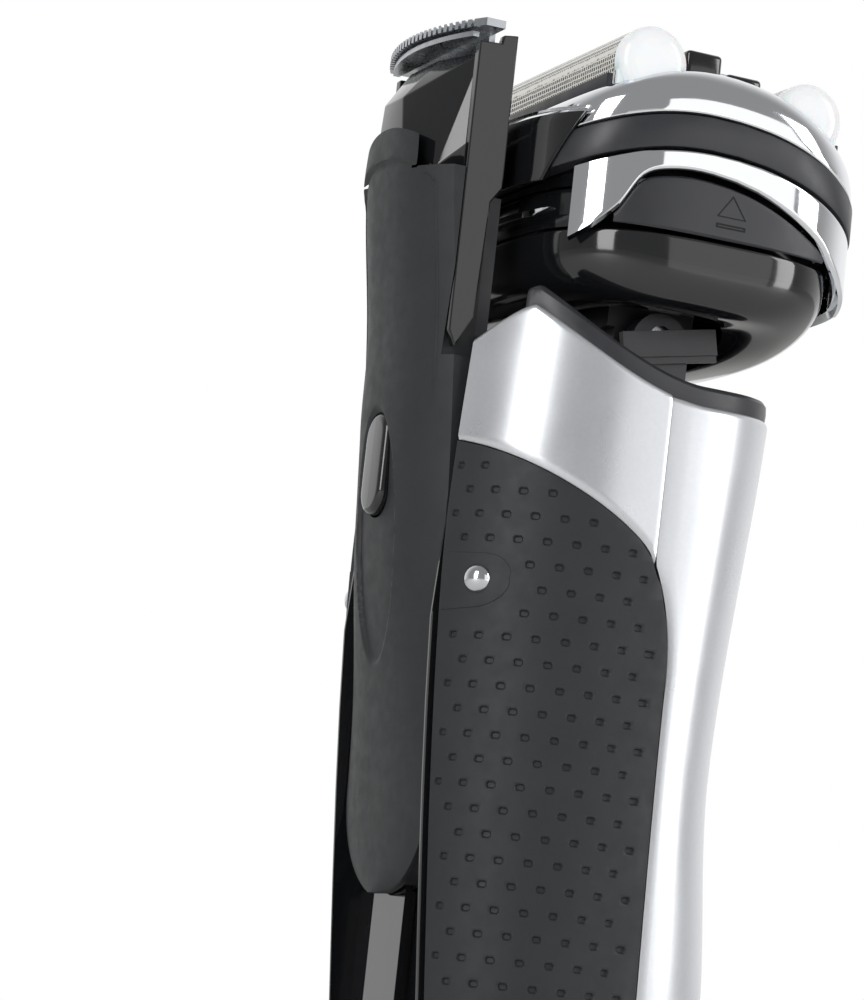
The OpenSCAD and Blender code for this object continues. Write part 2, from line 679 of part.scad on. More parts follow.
// An armature bar with its magnet and the pin that drives a cutter
module armature(s) {
    y = head_y + s * foil_pitch / 2;
    color("#85888c") block([-10, y - 2.4, motor_z + 0.4], [10, y + (s > 0 ? 1.7 : 2.4), motor_z + 3]);
    color("#3f4144") block([-8, y - 2, motor_z + 3 - eps], [8, y + 1.6, motor_z + 4]);
    color(steel) translate([0, y, motor_z + 3.6]) cylinder(d = drive_pin_d,
        h = foil_at(s) - foil_r - motor_z - 3.6 + 0.8);
}

module armature_front() {
    armature(-1);
}

module armature_rear() {
    armature(1);
}

module drive_seals() {
    color("#2d2e31") for (s = [-1, 1]) translate([0, head_y + s * foil_pitch / 2, crease_z + 1.8])
        difference() {
        hull() for (x = [-1, 1]) translate([x * (stroke + 1), 0, 0]) cylinder(d = drive_pin_d + 4, h = 1,
            $fn = 32);
        translate([0, 0, -1]) hull() for (x = [-1, 1]) translate([x * (stroke + 0.3), 0, 0])
            cylinder(d = drive_pin_d + 0.8, h = 3, $fn = 32);
    }
}

module release() {
    ys = [for (i = [0 : 40]) mix(-22, 7, i / 40)];
    vs = [for (i = [0 : 5]) i / 5];
    function side(y, off) = let (h = head_d / 2, q = min(0.999, abs(y - head_y) / h))
        (head_l / 2 - off) * pow(1 - pow(q, head_n), 1 / head_n);
    function at(y, v, off) = [side(y, off + 0.5), y,
        mix(crease_z + move_clear + 0.1, max(arch(y) - 1.1, crease_z + 1), v)];
    color("#303134") {
        grid_shell([for (v = vs) [for (y = ys) at(y, v, 0)]], [for (v = vs) [for (y = ys) at(y, v, 1.5)]]);
        block([head_l / 2 - 4.4, head_y - 4, crease_z + 3.2], [head_l / 2 - 1.9, head_y + 4, crease_z + 4.8]);
    }
}

module release_left() {
    mirror([1, 0, 0]) release();
}

module release_right() {
    release();
}

// ---------- cassette ----------

module cassette_band() {
    st = [for (t = [0 : 7.5 : 352.5]) let (p = head_at(t), i = head_at(t, head_wall + 0.6),
        l = part_line(p[1]) + 0.1,
        h = band_line(p[1]), o = head_at(t, -0.15)) [[o[0], o[1], l], [o[0], o[1], h], [i[0], i[1], h],
            [i[0], i[1], l]]];
    color(rubber) hoop(st);
}

module cassette_frame() {
    st = [for (t = [0 : 7.5 : 352.5]) let (p = head_at(t), l = band_line(p[1]) + 0.1, h = frame_line(p[1]),
        o = head_at(t, 0.1), m = head_at(t, 0.5), u = head_at(t, 2.2), w = head_at(t, 4), i = head_at(t,
            head_wall + 0.6))
        [[o[0], o[1], l], [m[0], m[1], mix(l, h, 0.55)], [u[0], u[1], h - 0.5], [w[0], w[1], h],
            [w[0], w[1], h - 1.2], [i[0], i[1], l]]];
    pocket_r = foil_r + move_clear;
    pocket_x = foil_l / 2 + 3.1;
    color(chrome) difference() {
        hoop(st);
        // Pockets that the foils' end caps sink into
        for (k = [-1, 1]) translate([0, head_y + k * foil_pitch / 2, 0]) {
            along_x([-pocket_x, 0, foil_at(k)]) cylinder(r = pocket_r, h = 2 * pocket_x);
            block([-pocket_x, -pocket_r - 0.8, foil_at(k) - 5 - foil_float - move_clear],
                [pocket_x, pocket_r + 0.8, foil_z]);
        }
    }
}

module cassette_tray() {
    function edge(off) = [for (t = [0 : 7.5 : 352.5]) let (p = head_at(t, off), m = head_l / 2 - 1.6 - off)
        [max(-m, min(m, p[0])), p[1]]];
    inner = edge(head_wall + 1);
    outer = edge(head_wall + 1.1);
    bore = edge(head_wall + 1.8);
    foot = tray_low + tray_t - 0.4;
    skirt = [for (i = [0 : 47]) let (o = outer[i], n = bore[i],
        h = min(tray_low + 5.4, part_line(head_at(7.5 * i)[1]) + band_h + 0.4))
        [[o[0], o[1], foot], [o[0], o[1], h], [n[0], n[1], h], [n[0], n[1], foot]]];
    color(gloss_black) {
        difference() {
            translate([0, 0, tray_low]) linear_extrude(tray_t) polygon(inner);
            for (s = [-1, 1]) translate([-8, head_y + s * foil_pitch / 2 - 2.6, tray_low - 1]) cube([16,
                5.2, 9]);
        }
        // Skirt that the frame and the band sit on
        hoop(skirt);
        // Guide posts for the foil units
        both_sides() for (s = [-1, 1]) translate([foil_l / 2 - 1.6, head_y + s * foil_pitch / 2,
            tray_low + 0.4])
            cylinder(d = 2, h = 5);
    }
}

module rear_inlay() {
    low = part_line(head_y + head_d / 2) - 0.6;
    function at(u, v, off) = let (x = u * mix(18, 23.4, v), l = head_l / 2 + off)
        [x, head_y + (head_d / 2 + off) * pow(1 - pow(abs(x) / l, head_n), 1 / head_n), low + 8.6 * v];
    us = [for (i = [10 : -1 : -10]) i / 10];
    color(gloss_black) grid_shell([for (v = [0, 0.5, 1]) [for (u = us) at(u, v, 0.55)]],
        [for (v = [0, 0.5, 1]) [for (u = us) at(u, v, 0.25)]]);
}

module foil(s) {
    y = head_y + s * foil_pitch / 2;
    color("#c9c6bd") along_x([-foil_l / 2, y, foil_at(s)]) rotate([0, 0, 90]) linear_extrude(foil_l)
        difference() {
        union() {
            circle(r = foil_r);
            translate([-foil_r, -5]) square([2 * foil_r, 5]);
        }
        circle(r = foil_r - 0.3);
        translate([-foil_r + 0.3, -6]) square([2 * foil_r - 0.6, 6]);
    }
}

module foil_front() {
    foil(-1);
}

module foil_rear() {
    foil(1);
}

// Rounded end caps and side rails that hold a foil
module foil_caps(s) {
    y = head_y + s * foil_pitch / 2;
    z = foil_at(s);
    color("#eceff1") both_sides() {
        along_x([foil_l / 2 + eps, y, z]) cylinder(r = foil_r, h = 1.4);
        along_x([foil_l / 2 + 1.4, y, z]) cylinder(r1 = foil_r, r2 = foil_r - 1.3, h = 1.3);
        block([foil_l / 2 + eps, y - foil_r + 0.2, z - 5], [foil_l / 2 + 1.2, y + foil_r - 0.2, z]);
    }
    color(mid_black) for (k = [-1, 1])
        block([-foil_l / 2, y + k * (foil_r + 0.4) - 0.38, z - 5], [foil_l / 2,
            y + k * (foil_r + 0.4) + 0.38, z - 2]);
}

module foil_caps_front() {
    foil_caps(-1);
}

module foil_caps_rear() {
    foil_caps(1);
}

module cutter(s) {
    y = head_y + s * foil_pitch / 2;
    z = foil_at(s);
    half = foil_l / 2 - stroke - 0.8;
    fin_r = foil_r - 0.3 - move_clear;
    color(steel) for (x = [-half : 2 : half - 0.5]) along_x([x, y, z]) difference() {
        cylinder(r = fin_r, h = 0.5);
        translate([0.6, -9, -1]) cube([9, 18, 3]);
    }
    color("#dcdad2") difference() {
        union() {
            block([-half, y - 2, z - 2], [half, y + 2, z - 0.6 + eps]);
            block([-14, y - 2, z - 4], [14, y + 2, z - 2 + eps]);
        }
        translate([0, y, z - 5]) cylinder(d = drive_pin_d + 2 * run_clear, h = 4.2);
    }
}

module cutter_front() {
    cutter(-1);
}

module cutter_rear() {
    cutter(1);
}

guard_half = foil_pitch / 2 - foil_r - 1.1;
module centre_guard() {
    color(gloss_black) both_sides() block([17.4, head_y - guard_half, foil_z - 5], [21.6,
        head_y + guard_half, foil_z + 3.6]);
    color(steel) difference() {
        block([-17.4 - eps, head_y - guard_half + 0.3, foil_z - 1], [17.4 + eps,
            head_y + guard_half - 0.3, foil_z + 2.8]);
        block([-16.6, head_y - guard_half + 1, foil_z - 2], [16.6, head_y + guard_half - 1, foil_z + 2.1]);
        for (x = [-15 : 2 : 15]) block([x - 0.5, head_y - 9, foil_z + 1.2], [x + 0.5, head_y + 9,
            foil_z + 3]);
    }
}

module centre_cutter() {
    color("#8b8e92") block([-15, head_y - guard_half + 1.3, foil_z - 2], [15, head_y + guard_half - 1.3,
        foil_z + 0.9]);
}

// A pair of springs under one foil
module foil_springs(s) {
    z = tray_low + tray_t;
    color(steel) both_sides() translate([foil_l / 2 - 1.6, head_y + s * foil_pitch / 2, z])
        coil_spring(1.7, foil_at(s) - 5 - z, 4, 0.2);
}

module foil_springs_front() {
    foil_springs(-1);
}

module foil_springs_rear() {
    foil_springs(1);
}

// ---------- trimmer ----------

// Rear surface of the pad by height, on the middle line
pad_line = [[pad_low, 19.3], [80, 21.6], [100, 24.4], [116, 25.6], [130, 26.8], [146, 28.8],
    [pad_top + 1, 28.6]];
function pad_back(z) = smooth(z, pad_line);

module trimmer_carriage() {
    color(mid_black) difference() {
        union() {
            along_y([0, pad_seat, pad_low + trim_w / 2]) cylinder(r = trim_w / 2 - 0.3,
                h = pad_seat - carriage_y);
            block([-trim_w / 2 + 0.3, carriage_y, pad_low + trim_w / 2], [trim_w / 2 - 0.3, pad_seat, 126]);
            block([-trim_w / 2 + 1.5, plate_y - 0.6, 126 - eps], [trim_w / 2 - 1.5, plate_y + 1, 144]);
        }
        block([-3 - move_clear, rail_y - 1, 40], [3 + move_clear, rail_y + rail_stem, 130]);
        block([-5 - move_clear, rail_y + rail_stem - move_clear, 40],
            [5 + move_clear, rail_y + rail_stem + rail_lip + move_clear, 130]);
    }
}

module trimmer_frame() {
    color(gloss_black) difference() {
        union() {
            // Side walls
            both_sides() translate([trim_w / 2 - 1.4, 0, 0]) rotate([90, 0, 90]) linear_extrude(1.4)
                polygon([[22.6, 126], [22.6, trim_top - 1.6], [19.6, trim_top - 1.4], [19.4, trim_top - 0.3],
                    [plate_y, trim_top], [plate_y, 145], [18.8, 143], [19.4, 128], [21.6, 124]]);
            // Facetted head that carries the blade
            difference() {
                translate([0, 0, pad_top - 6]) linear_extrude(trim_top - pad_top + 4) polygon([
                    [-trim_w / 2 + 1.4, plate_y + 1], [trim_w / 2 - 1.4, plate_y + 1], [trim_w / 2 - 1.4,
                        22.6],
                    [8, 27], [0, 28.2], [-8, 27], [-trim_w / 2 + 1.4, 22.6]]);
                translate([0, 28.6, pad_top]) rotate([22, 0, 0]) block([-20, 0, 0], [20, 20, 30]);
            }
        }
        block([-12, plate_y + 2.2, trim_top - 5], [12, 24, trim_top + 1]);
        block([-14, 21.5, trim_top - 2.7], [14, 30, trim_top + 1]);
        block([-12.3, 19.6, trim_top - 1.4], [12.3, 30, trim_top + 1]);
    }
}

module trimmer_pad() {
    low = trim_w / 2;
    rows = [for (i = [0 : 22]) i / 22];
    us = [for (i = [-8 : 8]) i / 8];
    function width(z) = z < pad_low + low ? sqrt(max(0.02, 1 - pow((pad_low + low - z) / low, 2))) : 1;
    function at(u, v) = let (zl = pad_low + 0.2, zh = pad_top - 4.6 * u * u, z = mix(zl, zh, v))
        let (w = width(z) * low, edge = mix(1.2, 4.6, min(1, (z - pad_low) / 50)))
        [u * w, pad_back(z) - edge * pow(abs(u), 2.6), z];
    color(rubber) difference() {
        grid_shell([for (v = rows) [for (u = [for (k = us) -k]) at(u, v)]],
            [for (v = rows) [for (u = [for (k = us) -k]) let (p = at(u, v)) [p[0], pad_seat + 0.01, p[2]]]]);
        both_sides() block([trim_w / 2 - 1.5, 15, 123], [trim_w / 2 + 1, 22.7, 170]);
        block([-trim_w / 2 + 1.3, 15, 125.9], [trim_w / 2 - 1.3, plate_y + 1.01, 170]);
        block([-20, 15, pad_top - 6.01], [20, 28.25, 170]);
        along_y([0, 40, trim_button_z]) {
            block([-trim_button_r - move_clear, -3.4, 10], [trim_button_r + move_clear, 3.4, 24]);
            for (z = [-3.4, 3.4]) translate([0, z, 10]) cylinder(r = trim_button_r + move_clear, h = 14);
        }
    }
}

module trimmer_comb() {
    y = 25;
    color(steel) difference() {
        union() {
            intersection() {
                translate([0, y - comb_r + 1.6, trim_top - 1.2]) cylinder(r = comb_r, h = 1, $fn = 96);
                block([-15.6, 20.2, trim_top - 2], [15.6, y + 3, trim_top + 2]);
            }
            block([-11.6, 19.8, trim_top - 3.6], [11.6, 20.6, trim_top - 0.4]);
            block([-11.6, 19.8, trim_top - 1.2], [11.6, y - 2, trim_top - 0.4]);
        }
        for (i = [0 : comb_teeth - 1]) let (a = (i - (comb_teeth - 1) / 2) * 1.15 * 57.3 / comb_r)
            translate([0, y - comb_r + 1.6, trim_top]) rotate([0, 0, -a]) block([-0.25, comb_r - 2, -3],
                [0.25, comb_r + 1, 3]);
    }
}

module trimmer_cutter() {
    y = 25;
    color("#9a9da1") intersection() {
        translate([0, y - comb_r + 1, trim_top - 2.2]) cylinder(r = comb_r, h = 0.65, $fn = 96);
        block([-13, y - 2.4, trim_top - 3], [13, y + 3, trim_top]);
    }
}

module trimmer_button() {
    color(gloss_black) along_y([0, pad_back(trim_button_z) + 0.3, trim_button_z]) difference() {
        union() {
            for (z = [-3.4, 3.4]) translate([0, z, 0]) cylinder(r = trim_button_r, h = 4.2);
            block([-trim_button_r, -3.4, 0], [trim_button_r, 3.4, 4.2]);
        }
        // Pocket that the spring stands in, deeper than the travel
        translate([0, 0, 4.2 - trim_button_travel - 0.6]) cylinder(r = 2.4, h = 5);
    }
}

module trimmer_spring() {
    high = pad_back(trim_button_z) - 3.9 + 0.4;
    color(steel) translate([0, pad_seat, trim_button_z]) rotate([-90, 0, 0]) coil_spring(1.8,
        high - pad_seat, 3, 0.2);
}

front_panel();
side_panel_left();
side_panel_right();
grip_left();
grip_right();
rear_cover();
neck_collar();
neck_deck();
base_cap();
base_seal();
inlet_insert();
inlet_pins();
contact_studs();
inner_chassis();
battery_cell();
battery_tabs();
circuit_board();
display_board();
display_window();
power_switch();
power_ring();
power_button();
lock_plate();
lock_slider();
housing_screws();
pivot_yokes();
pivot_pins();
head_pod();
head_hub();
head_frame();
head_deck();
motor_coil();
motor_core();
armature_front();
armature_rear();
drive_seals();
release_left();
release_right();
cassette_frame();
cassette_band();
cassette_tray();
rear_inlay();
foil_front();
foil_rear();
foil_caps_front();
foil_caps_rear();
cutter_front();
cutter_rear();
centre_guard();
centre_cutter();
foil_springs_front();
foil_springs_rear();
trimmer_carriage();
trimmer_frame();
trimmer_pad();
trimmer_comb();
trimmer_cutter();
trimmer_button();
trimmer_spring();
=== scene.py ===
# %% [markdown]
# # A foil shaver, piece by piece
# This lesson dresses a finished CAD model of an electric shaver: a slim handle with rubber grips, a head that
# pivots, a lift-off cassette with two foils, and a long-hair trimmer that slides up the back.
# The CAD gives every size and place. Blender adds the surfaces that the eye and the hand notice:
# rolled panel edges, dimples, thumb scoops, parting lines, and a finish for each material.

# %% Load the frame
import math

import bmesh
import bpy
from mathutils import Matrix, Vector


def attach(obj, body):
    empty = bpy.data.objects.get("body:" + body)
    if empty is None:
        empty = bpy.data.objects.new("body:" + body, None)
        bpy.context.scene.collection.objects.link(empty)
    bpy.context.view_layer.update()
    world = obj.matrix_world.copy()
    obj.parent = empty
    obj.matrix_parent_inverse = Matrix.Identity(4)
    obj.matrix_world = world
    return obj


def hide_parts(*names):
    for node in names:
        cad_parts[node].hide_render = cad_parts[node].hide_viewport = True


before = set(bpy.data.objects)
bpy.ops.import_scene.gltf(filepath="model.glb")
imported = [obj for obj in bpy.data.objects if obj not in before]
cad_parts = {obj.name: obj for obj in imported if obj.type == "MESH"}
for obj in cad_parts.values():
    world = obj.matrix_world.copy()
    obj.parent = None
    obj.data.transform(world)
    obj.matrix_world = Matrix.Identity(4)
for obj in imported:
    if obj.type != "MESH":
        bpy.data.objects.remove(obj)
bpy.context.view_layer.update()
MM = 0.001
print("The CAD model holds", len(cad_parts), "nodes")

# %% [markdown]
# ## The camera and the light
# The shaver is seen from behind and to its left, from a little below its head, through a long lens.
# A long lens keeps the handle's sides nearly parallel. The camera is rolled slightly, so the handle leans.

# %% Camera
CAMERA_AT = Vector((-438.5, 199.4, 36.0)) * MM
CAMERA_AIM = Vector((1.9, 15.9, 106.9)) * MM
CAMERA_ROLL = math.radians(6.25)

lens = bpy.data.cameras.new("long_lens")
lens.lens = 135.5
lens.sensor_width = 36
lens.clip_start = 0.01
camera = bpy.data.objects.new("camera", lens)
bpy.context.scene.collection.objects.link(camera)
look = (CAMERA_AIM - CAMERA_AT).to_track_quat("-Z", "Y")
camera.matrix_world = Matrix.Translation(CAMERA_AT) @ look.to_matrix().to_4x4() @ Matrix.Rotation(CAMERA_ROLL, 4, "Z")
bpy.context.scene.camera = camera
bpy.context.scene.view_settings.view_transform = "Standard"


# %% [markdown]
# ## Colours and nodes
# Colours are written as sRGB hex, as a maker's finish chart gives them, and one function turns them to linear.
# One more function adds any shader node with its settings and links, so a finish reads as a short list.

# %% Colour and node helpers
def srgb(code):
    """An sRGB hex colour as linear RGBA."""
    parts = [int(code[i : i + 2], 16) / 255 for i in (1, 3, 5)]
    return [c / 12.92 if c < 0.04045 else ((c + 0.055) / 1.055) ** 2.4 for c in parts] + [1.0]


def add(tree, kind, inputs=(), **settings):
    """Adds a node. Settings are its properties, and inputs gives sockets their values or what feeds them."""
    node = tree.nodes.new(kind)
    for key, value in settings.items():
        setattr(node, key, value)
    for key, value in dict(inputs).items():
        if isinstance(value, bpy.types.NodeSocket):
            tree.links.new(value, node.inputs[key])
        else:
            node.inputs[key].default_value = value
    return node


def finish(name, colour, rough, metal=0.0, **sockets):
    """A material with its constants on the shader's own sockets. Returns its tree, shader and coordinates."""
    material = bpy.data.materials.new(name)
    material.use_nodes = True
    tree = material.node_tree
    shader = tree.nodes["Principled BSDF"]
    shader.inputs["Base Color"].default_value = srgb(colour)
    shader.inputs["Roughness"].default_value = rough
    shader.inputs["Metallic"].default_value = metal
    for key, value in sockets.items():
        shader.inputs[key.replace("_", " ")].default_value = value
    place = add(tree, "ShaderNodeTexCoord").outputs["Object"]
    FINISHES[name] = material
    return tree, shader, place


FINISHES = {}


def grain(tree, shader, place, size, height, detail=2.0, stretch=(1, 1, 1)):
    """Fine relief whose bumps are about size millimetres across and height millimetres high."""
    turned = add(tree, "ShaderNodeMapping", {"Vector": place, "Scale": stretch})
    noise = add(tree, "ShaderNodeTexNoise",
                {"Vector": turned.outputs[0], "Scale": 1 / (size * MM), "Detail": detail, "Roughness": 0.6})
    bump = add(tree, "ShaderNodeBump", {"Height": noise.outputs[0], "Distance": height * MM, "Strength": 1.0})
    tree.links.new(bump.outputs[0], shader.inputs["Normal"])
    return noise.outputs[0]


def vary(tree, shader, place, socket, low, high, size, detail=3.0):
    """Lets a number or colour of the shader drift between low and high, in patches of size millimetres."""
    noise = add(tree, "ShaderNodeTexNoise",
                {"Vector": place, "Scale": 1 / (size * MM), "Detail": detail, "Roughness": 0.55})
    if isinstance(low, str):
        mix = add(tree, "ShaderNodeMix", {"Factor": noise.outputs[0]}, data_type="RGBA")
        mix.inputs[6].default_value = srgb(low)
        mix.inputs[7].default_value = srgb(high)
        tree.links.new(mix.outputs[2], shader.inputs[socket])
    else:
        span = add(tree, "ShaderNodeMapRange", {"Value": noise.outputs[0], 1: 0.3, 2: 0.7, 3: low, 4: high})
        tree.links.new(span.outputs[0], shader.inputs[socket])


# %% [markdown]
# ## The finishes
# Each finish starts from what the real one is and how its surface was made.

# %% Lacquer and chrome
# Metallic lacquer sprayed on moulded ABS: a soft sheen with a fine flake just below a thin clear coat.
tree, shader, place = finish("satin_silver_lacquer", "#cdcfd3", 0.3, 0.72, Coat_Weight=0.25, Coat_Roughness=0.12)
grain(tree, shader, place, 0.14, 0.0009)
vary(tree, shader, place, "Base Color", "#c8cace", "#d2d4d8", 0.5)
vary(tree, shader, place, "Roughness", 0.27, 0.33, 9)

# Decorative chrome plated on ABS: almost a mirror, with a little unevenness from the moulding below.
tree, shader, place = finish("bright_chrome_plating", "#e4e6e9", 0.06, 1.0)
grain(tree, shader, place, 9.0, 0.012, 1.0)
vary(tree, shader, place, "Roughness", 0.04, 0.09, 5)

# Bare stainless steel, blanked and tumbled: grey with short brush marks.
tree, shader, place = finish("tumbled_steel", "#b3b6ba", 0.28, 1.0)
grain(tree, shader, place, 0.5, 0.003, 2.0, (0.15, 1, 1))
vary(tree, shader, place, "Roughness", 0.2, 0.36, 1.2)

# The charging studs are turned and polished until they mirror the room.
tree, shader, place = finish("polished_steel", "#cfd1d4", 0.1, 1.0)
vary(tree, shader, place, "Roughness", 0.07, 0.16, 0.8)

# %% Rubber and plastic
# Soft-touch elastomer moulded over the sides: charcoal, nearly matt, from a spark-eroded tool.
tree, shader, place = finish("soft_grip_elastomer", "#25272a", 0.6, 0.0, Specular_IOR_Level=0.42)
grain(tree, shader, place, 0.17, 0.012)
vary(tree, shader, place, "Base Color", "#1e2022", "#282a2d", 7)
vary(tree, shader, place, "Roughness", 0.5, 0.62, 2)

# Moulded ABS with a polished tool face: deep black with a wet look, and faint waves.
tree, shader, place = finish("polished_black_abs", "#141517", 0.1, 0.0, Coat_Weight=0.4, Coat_Roughness=0.05)
grain(tree, shader, place, 6.0, 0.004, 1.0)
vary(tree, shader, place, "Roughness", 0.07, 0.14, 4)

# Painted groove shade: a near-black matt colour laid on the release marks, which stands in for the shade inside their
# engraved grooves.
tree, shader, place = finish("painted_groove_shade", "#060607", 0.75)
vary(tree, shader, place, "Roughness", 0.7, 0.8, 300)

# The same plastic from a bead-blasted tool: dark grey and satin.
tree, shader, place = finish("satin_black_abs", "#292a2e", 0.4)
grain(tree, shader, place, 0.12, 0.003)
vary(tree, shader, place, "Roughness", 0.34, 0.46, 3)

# Plain unpainted structural plastic inside the handle.
tree, shader, place = finish("grey_structural_nylon", "#515357", 0.55)
grain(tree, shader, place, 0.25, 0.006)
vary(tree, shader, place, "Base Color", "#4b4d51", "#57595d", 4)

# Milky acetal caps at the foils' ends: bright, slippery and slightly see-through.
tree, shader, place = finish("milky_white_acetal", "#eef0f2", 0.16, 0.0, Subsurface_Weight=0.25, Subsurface_Scale=0.0015)
vary(tree, shader, place, "Roughness", 0.12, 0.2, 2)

# Silver button: the case's lacquer on a dished face, a touch brighter.
tree, shader, place = finish("bright_button_lacquer", "#bfc2c6", 0.24, 0.85, Coat_Weight=0.3)
grain(tree, shader, place, 0.12, 0.0008)
vary(tree, shader, place, "Roughness", 0.2, 0.28, 3)

# %% Metal foil and the parts inside
# The foil is electroformed nickel, a twentieth of a millimetre thick, pierced by thousands of small holes.
# The real holes are about half a millimetre across, and are drawn at their real size, as painted shade: dark spots in
# the colour, not openings.
tree, shader, place = finish("pierced_nickel_foil_hole_shade", "#c9c8c2", 0.24, 1.0)
cells = add(tree, "ShaderNodeTexVoronoi", {"Vector": place, "Scale": 1 / (0.62 * MM), "Randomness": 0.12},
            feature="DISTANCE_TO_EDGE")
web = add(tree, "ShaderNodeMapRange", {"Value": cells.outputs[0], 1: 0.12, 2: 0.2, 3: 0.0, 4: 1.0})
# Painted shade: each cell's middle turns near-black, standing in for the shade seen through a hole; the web keeps the
# nickel's colour.
dark = add(tree, "ShaderNodeMix", {"Factor": web.outputs[0]}, data_type="RGBA")
dark.inputs[6].default_value = srgb("#cfcdc6")
dark.inputs[7].default_value = srgb("#2a2a2b")
tree.links.new(dark.outputs[2], shader.inputs["Base Color"])
rise = add(tree, "ShaderNodeBump", {"Height": web.outputs[0], "Distance": 0.05 * MM, "Strength": 1.0}, invert=True)
tree.links.new(rise.outputs[0], shader.inputs["Normal"])

# Shrink sleeve on the cell: thin green plastic pulled tight.
tree, shader, place = finish("green_shrink_sleeve", "#3f7a56", 0.3, 0.0, Coat_Weight=0.3)
grain(tree, shader, place, 1.4, 0.02, 2.0, (1, 1, 0.2))
vary(tree, shader, place, "Base Color", "#3a7350", "#45825d", 6)

# Glass-fibre board under green solder mask, with the faint weave of the cloth inside it.
tree, shader, place = finish("green_solder_mask", "#1f5a3c", 0.3)
weave = add(tree, "ShaderNodeTexWave", {"Vector": place, "Scale": 1 / (8 * MM), "Distortion": 0.5})
bump = add(tree, "ShaderNodeBump", {"Height": weave.outputs[1], "Distance": 0.01 * MM, "Strength": 0.6})
tree.links.new(bump.outputs[0], shader.inputs["Normal"])
vary(tree, shader, place, "Base Color", "#1a5236", "#246344", 2.5)

# Enamelled copper wire wound on the motor: fine turns side by side.
tree, shader, place = finish("enamelled_copper_winding", "#b4662f", 0.28, 0.9)
turns = add(tree, "ShaderNodeTexWave", {"Vector": place, "Scale": 1 / (5 * MM)}, bands_direction="Y")
bump = add(tree, "ShaderNodeBump", {"Height": turns.outputs[1], "Distance": 0.08 * MM, "Strength": 1.0})
tree.links.new(bump.outputs[0], shader.inputs["Normal"])
vary(tree, shader, place, "Base Color", "#a85c29", "#c07238", 1.0)

# Stamped electrical steel of the motor: dark grey with rolled grain.
tree, shader, place = finish("stamped_motor_iron", "#6c6f73", 0.42, 0.9)
grain(tree, shader, place, 0.3, 0.004, 2.0, (0.2, 1, 1))
vary(tree, shader, place, "Base Color", "#62656a", "#767a7e", 2)
print("Finishes made:", len(FINISHES))

# %% [markdown]
# ## Dressing the CAD nodes
# Every CAD node gets the finish that its record slot names. Many of them stay in view as they are,
# because their flat faces and turned pins are already true.

# %% Finish of each slot
SLOT_FINISH = {
    "silver_paint": "satin_silver_lacquer", "grip_rubber": "soft_grip_elastomer",
    "pad_rubber": "soft_grip_elastomer",
    "gloss_black": "polished_black_abs", "satin_black": "satin_black_abs",
    "chassis_plastic": "grey_structural_nylon",
    "bright_chrome": "bright_chrome_plating", "steel": "tumbled_steel",
    "foil_steel": "pierced_nickel_foil_hole_shade",
    "cap_white": "milky_white_acetal", "button_silver": "bright_button_lacquer",
    "cell_wrap": "green_shrink_sleeve",
    "board_green": "green_solder_mask", "coil_copper": "enamelled_copper_winding",
    "motor_iron": "stamped_motor_iron",
}
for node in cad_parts.values():
    slot = node.data.materials[0].name
    node.data.materials.clear()
    node.data.materials.append(FINISHES[SLOT_FINISH[slot]])
print("Finishes laid on", len(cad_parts), "nodes")

# %% [markdown]
# ## Tools for new pieces
# Most outside parts are skins: a panel, a shell or a band that follows a rule. A bmesh grid is made by one
# operator, and each of its corners is then moved to where the rule puts it. The same grid, wrapped until its
# two sides meet and merge, makes a hoop. Edges sharper than a limit are rounded by the bevel operator.

# %% Skin, wall, rounding and piece
def sheet(across, up, place, flip=False):
    """A grid whose corner (u, v), each from 0 to 1, goes to place(u, v) in millimetres. Edges that meet join."""
    bm = bmesh.new()
    bmesh.ops.create_grid(bm, x_segments=across, y_segments=up, size=0.5)
    for v in bm.verts:
        v.co = Vector(place(v.co.x + 0.5, v.co.y + 0.5)) * MM
    bmesh.ops.remove_doubles(bm, verts=bm.verts, dist=2e-6)
    if flip:
        bmesh.ops.reverse_faces(bm, faces=bm.faces)
    return bm


def walled(bm, thick):
    """Gives an open sheet a wall on its inner side, thick millimetres deep."""
    bm.normal_update()
    bmesh.ops.solidify(bm, geom=bm.faces[:], thickness=thick * MM)
    return bm


def rounded(bm, width, segments=2, limit=32):
    """Rounds every edge sharper than limit degrees, over width millimetres."""
    bmesh.ops.recalc_face_normals(bm, faces=bm.faces)
    edges = [e for e in bm.edges if len(e.link_faces) == 2 and e.calc_face_angle(0) > math.radians(limit)]
    bmesh.ops.bevel(bm, geom=edges, offset=width * MM, offset_type="OFFSET", segments=segments, profile=0.5,
                    affect="EDGES", material=-1, clamp_overlap=True)
    return bm


def block(low, high):
    """A cube between two corners in millimetres."""
    bm = bmesh.new()
    size = Vector(high) - Vector(low)
    middle = (Vector(high) + Vector(low)) / 2
    bmesh.ops.create_cube(bm, size=1, matrix=Matrix.Translation(middle * MM) @ Matrix.Diagonal((*(size * MM), 1)))
    return bm


def joined(*parts):
    """One bmesh that holds several."""
    whole = bmesh.new()
    for bm in parts:
        mesh = bpy.data.meshes.new("part")
        bm.to_mesh(mesh)
        bm.free()
        whole.from_mesh(mesh)
        bpy.data.meshes.remove(mesh)
    return whole


def mirrored(bm):
    """The same shape on the other side of the shaver."""
    bmesh.ops.transform(bm, verts=bm.verts, matrix=Matrix.Diagonal((-1, 1, 1, 1)))
    bmesh.ops.reverse_faces(bm, faces=bm.faces)
    return bm


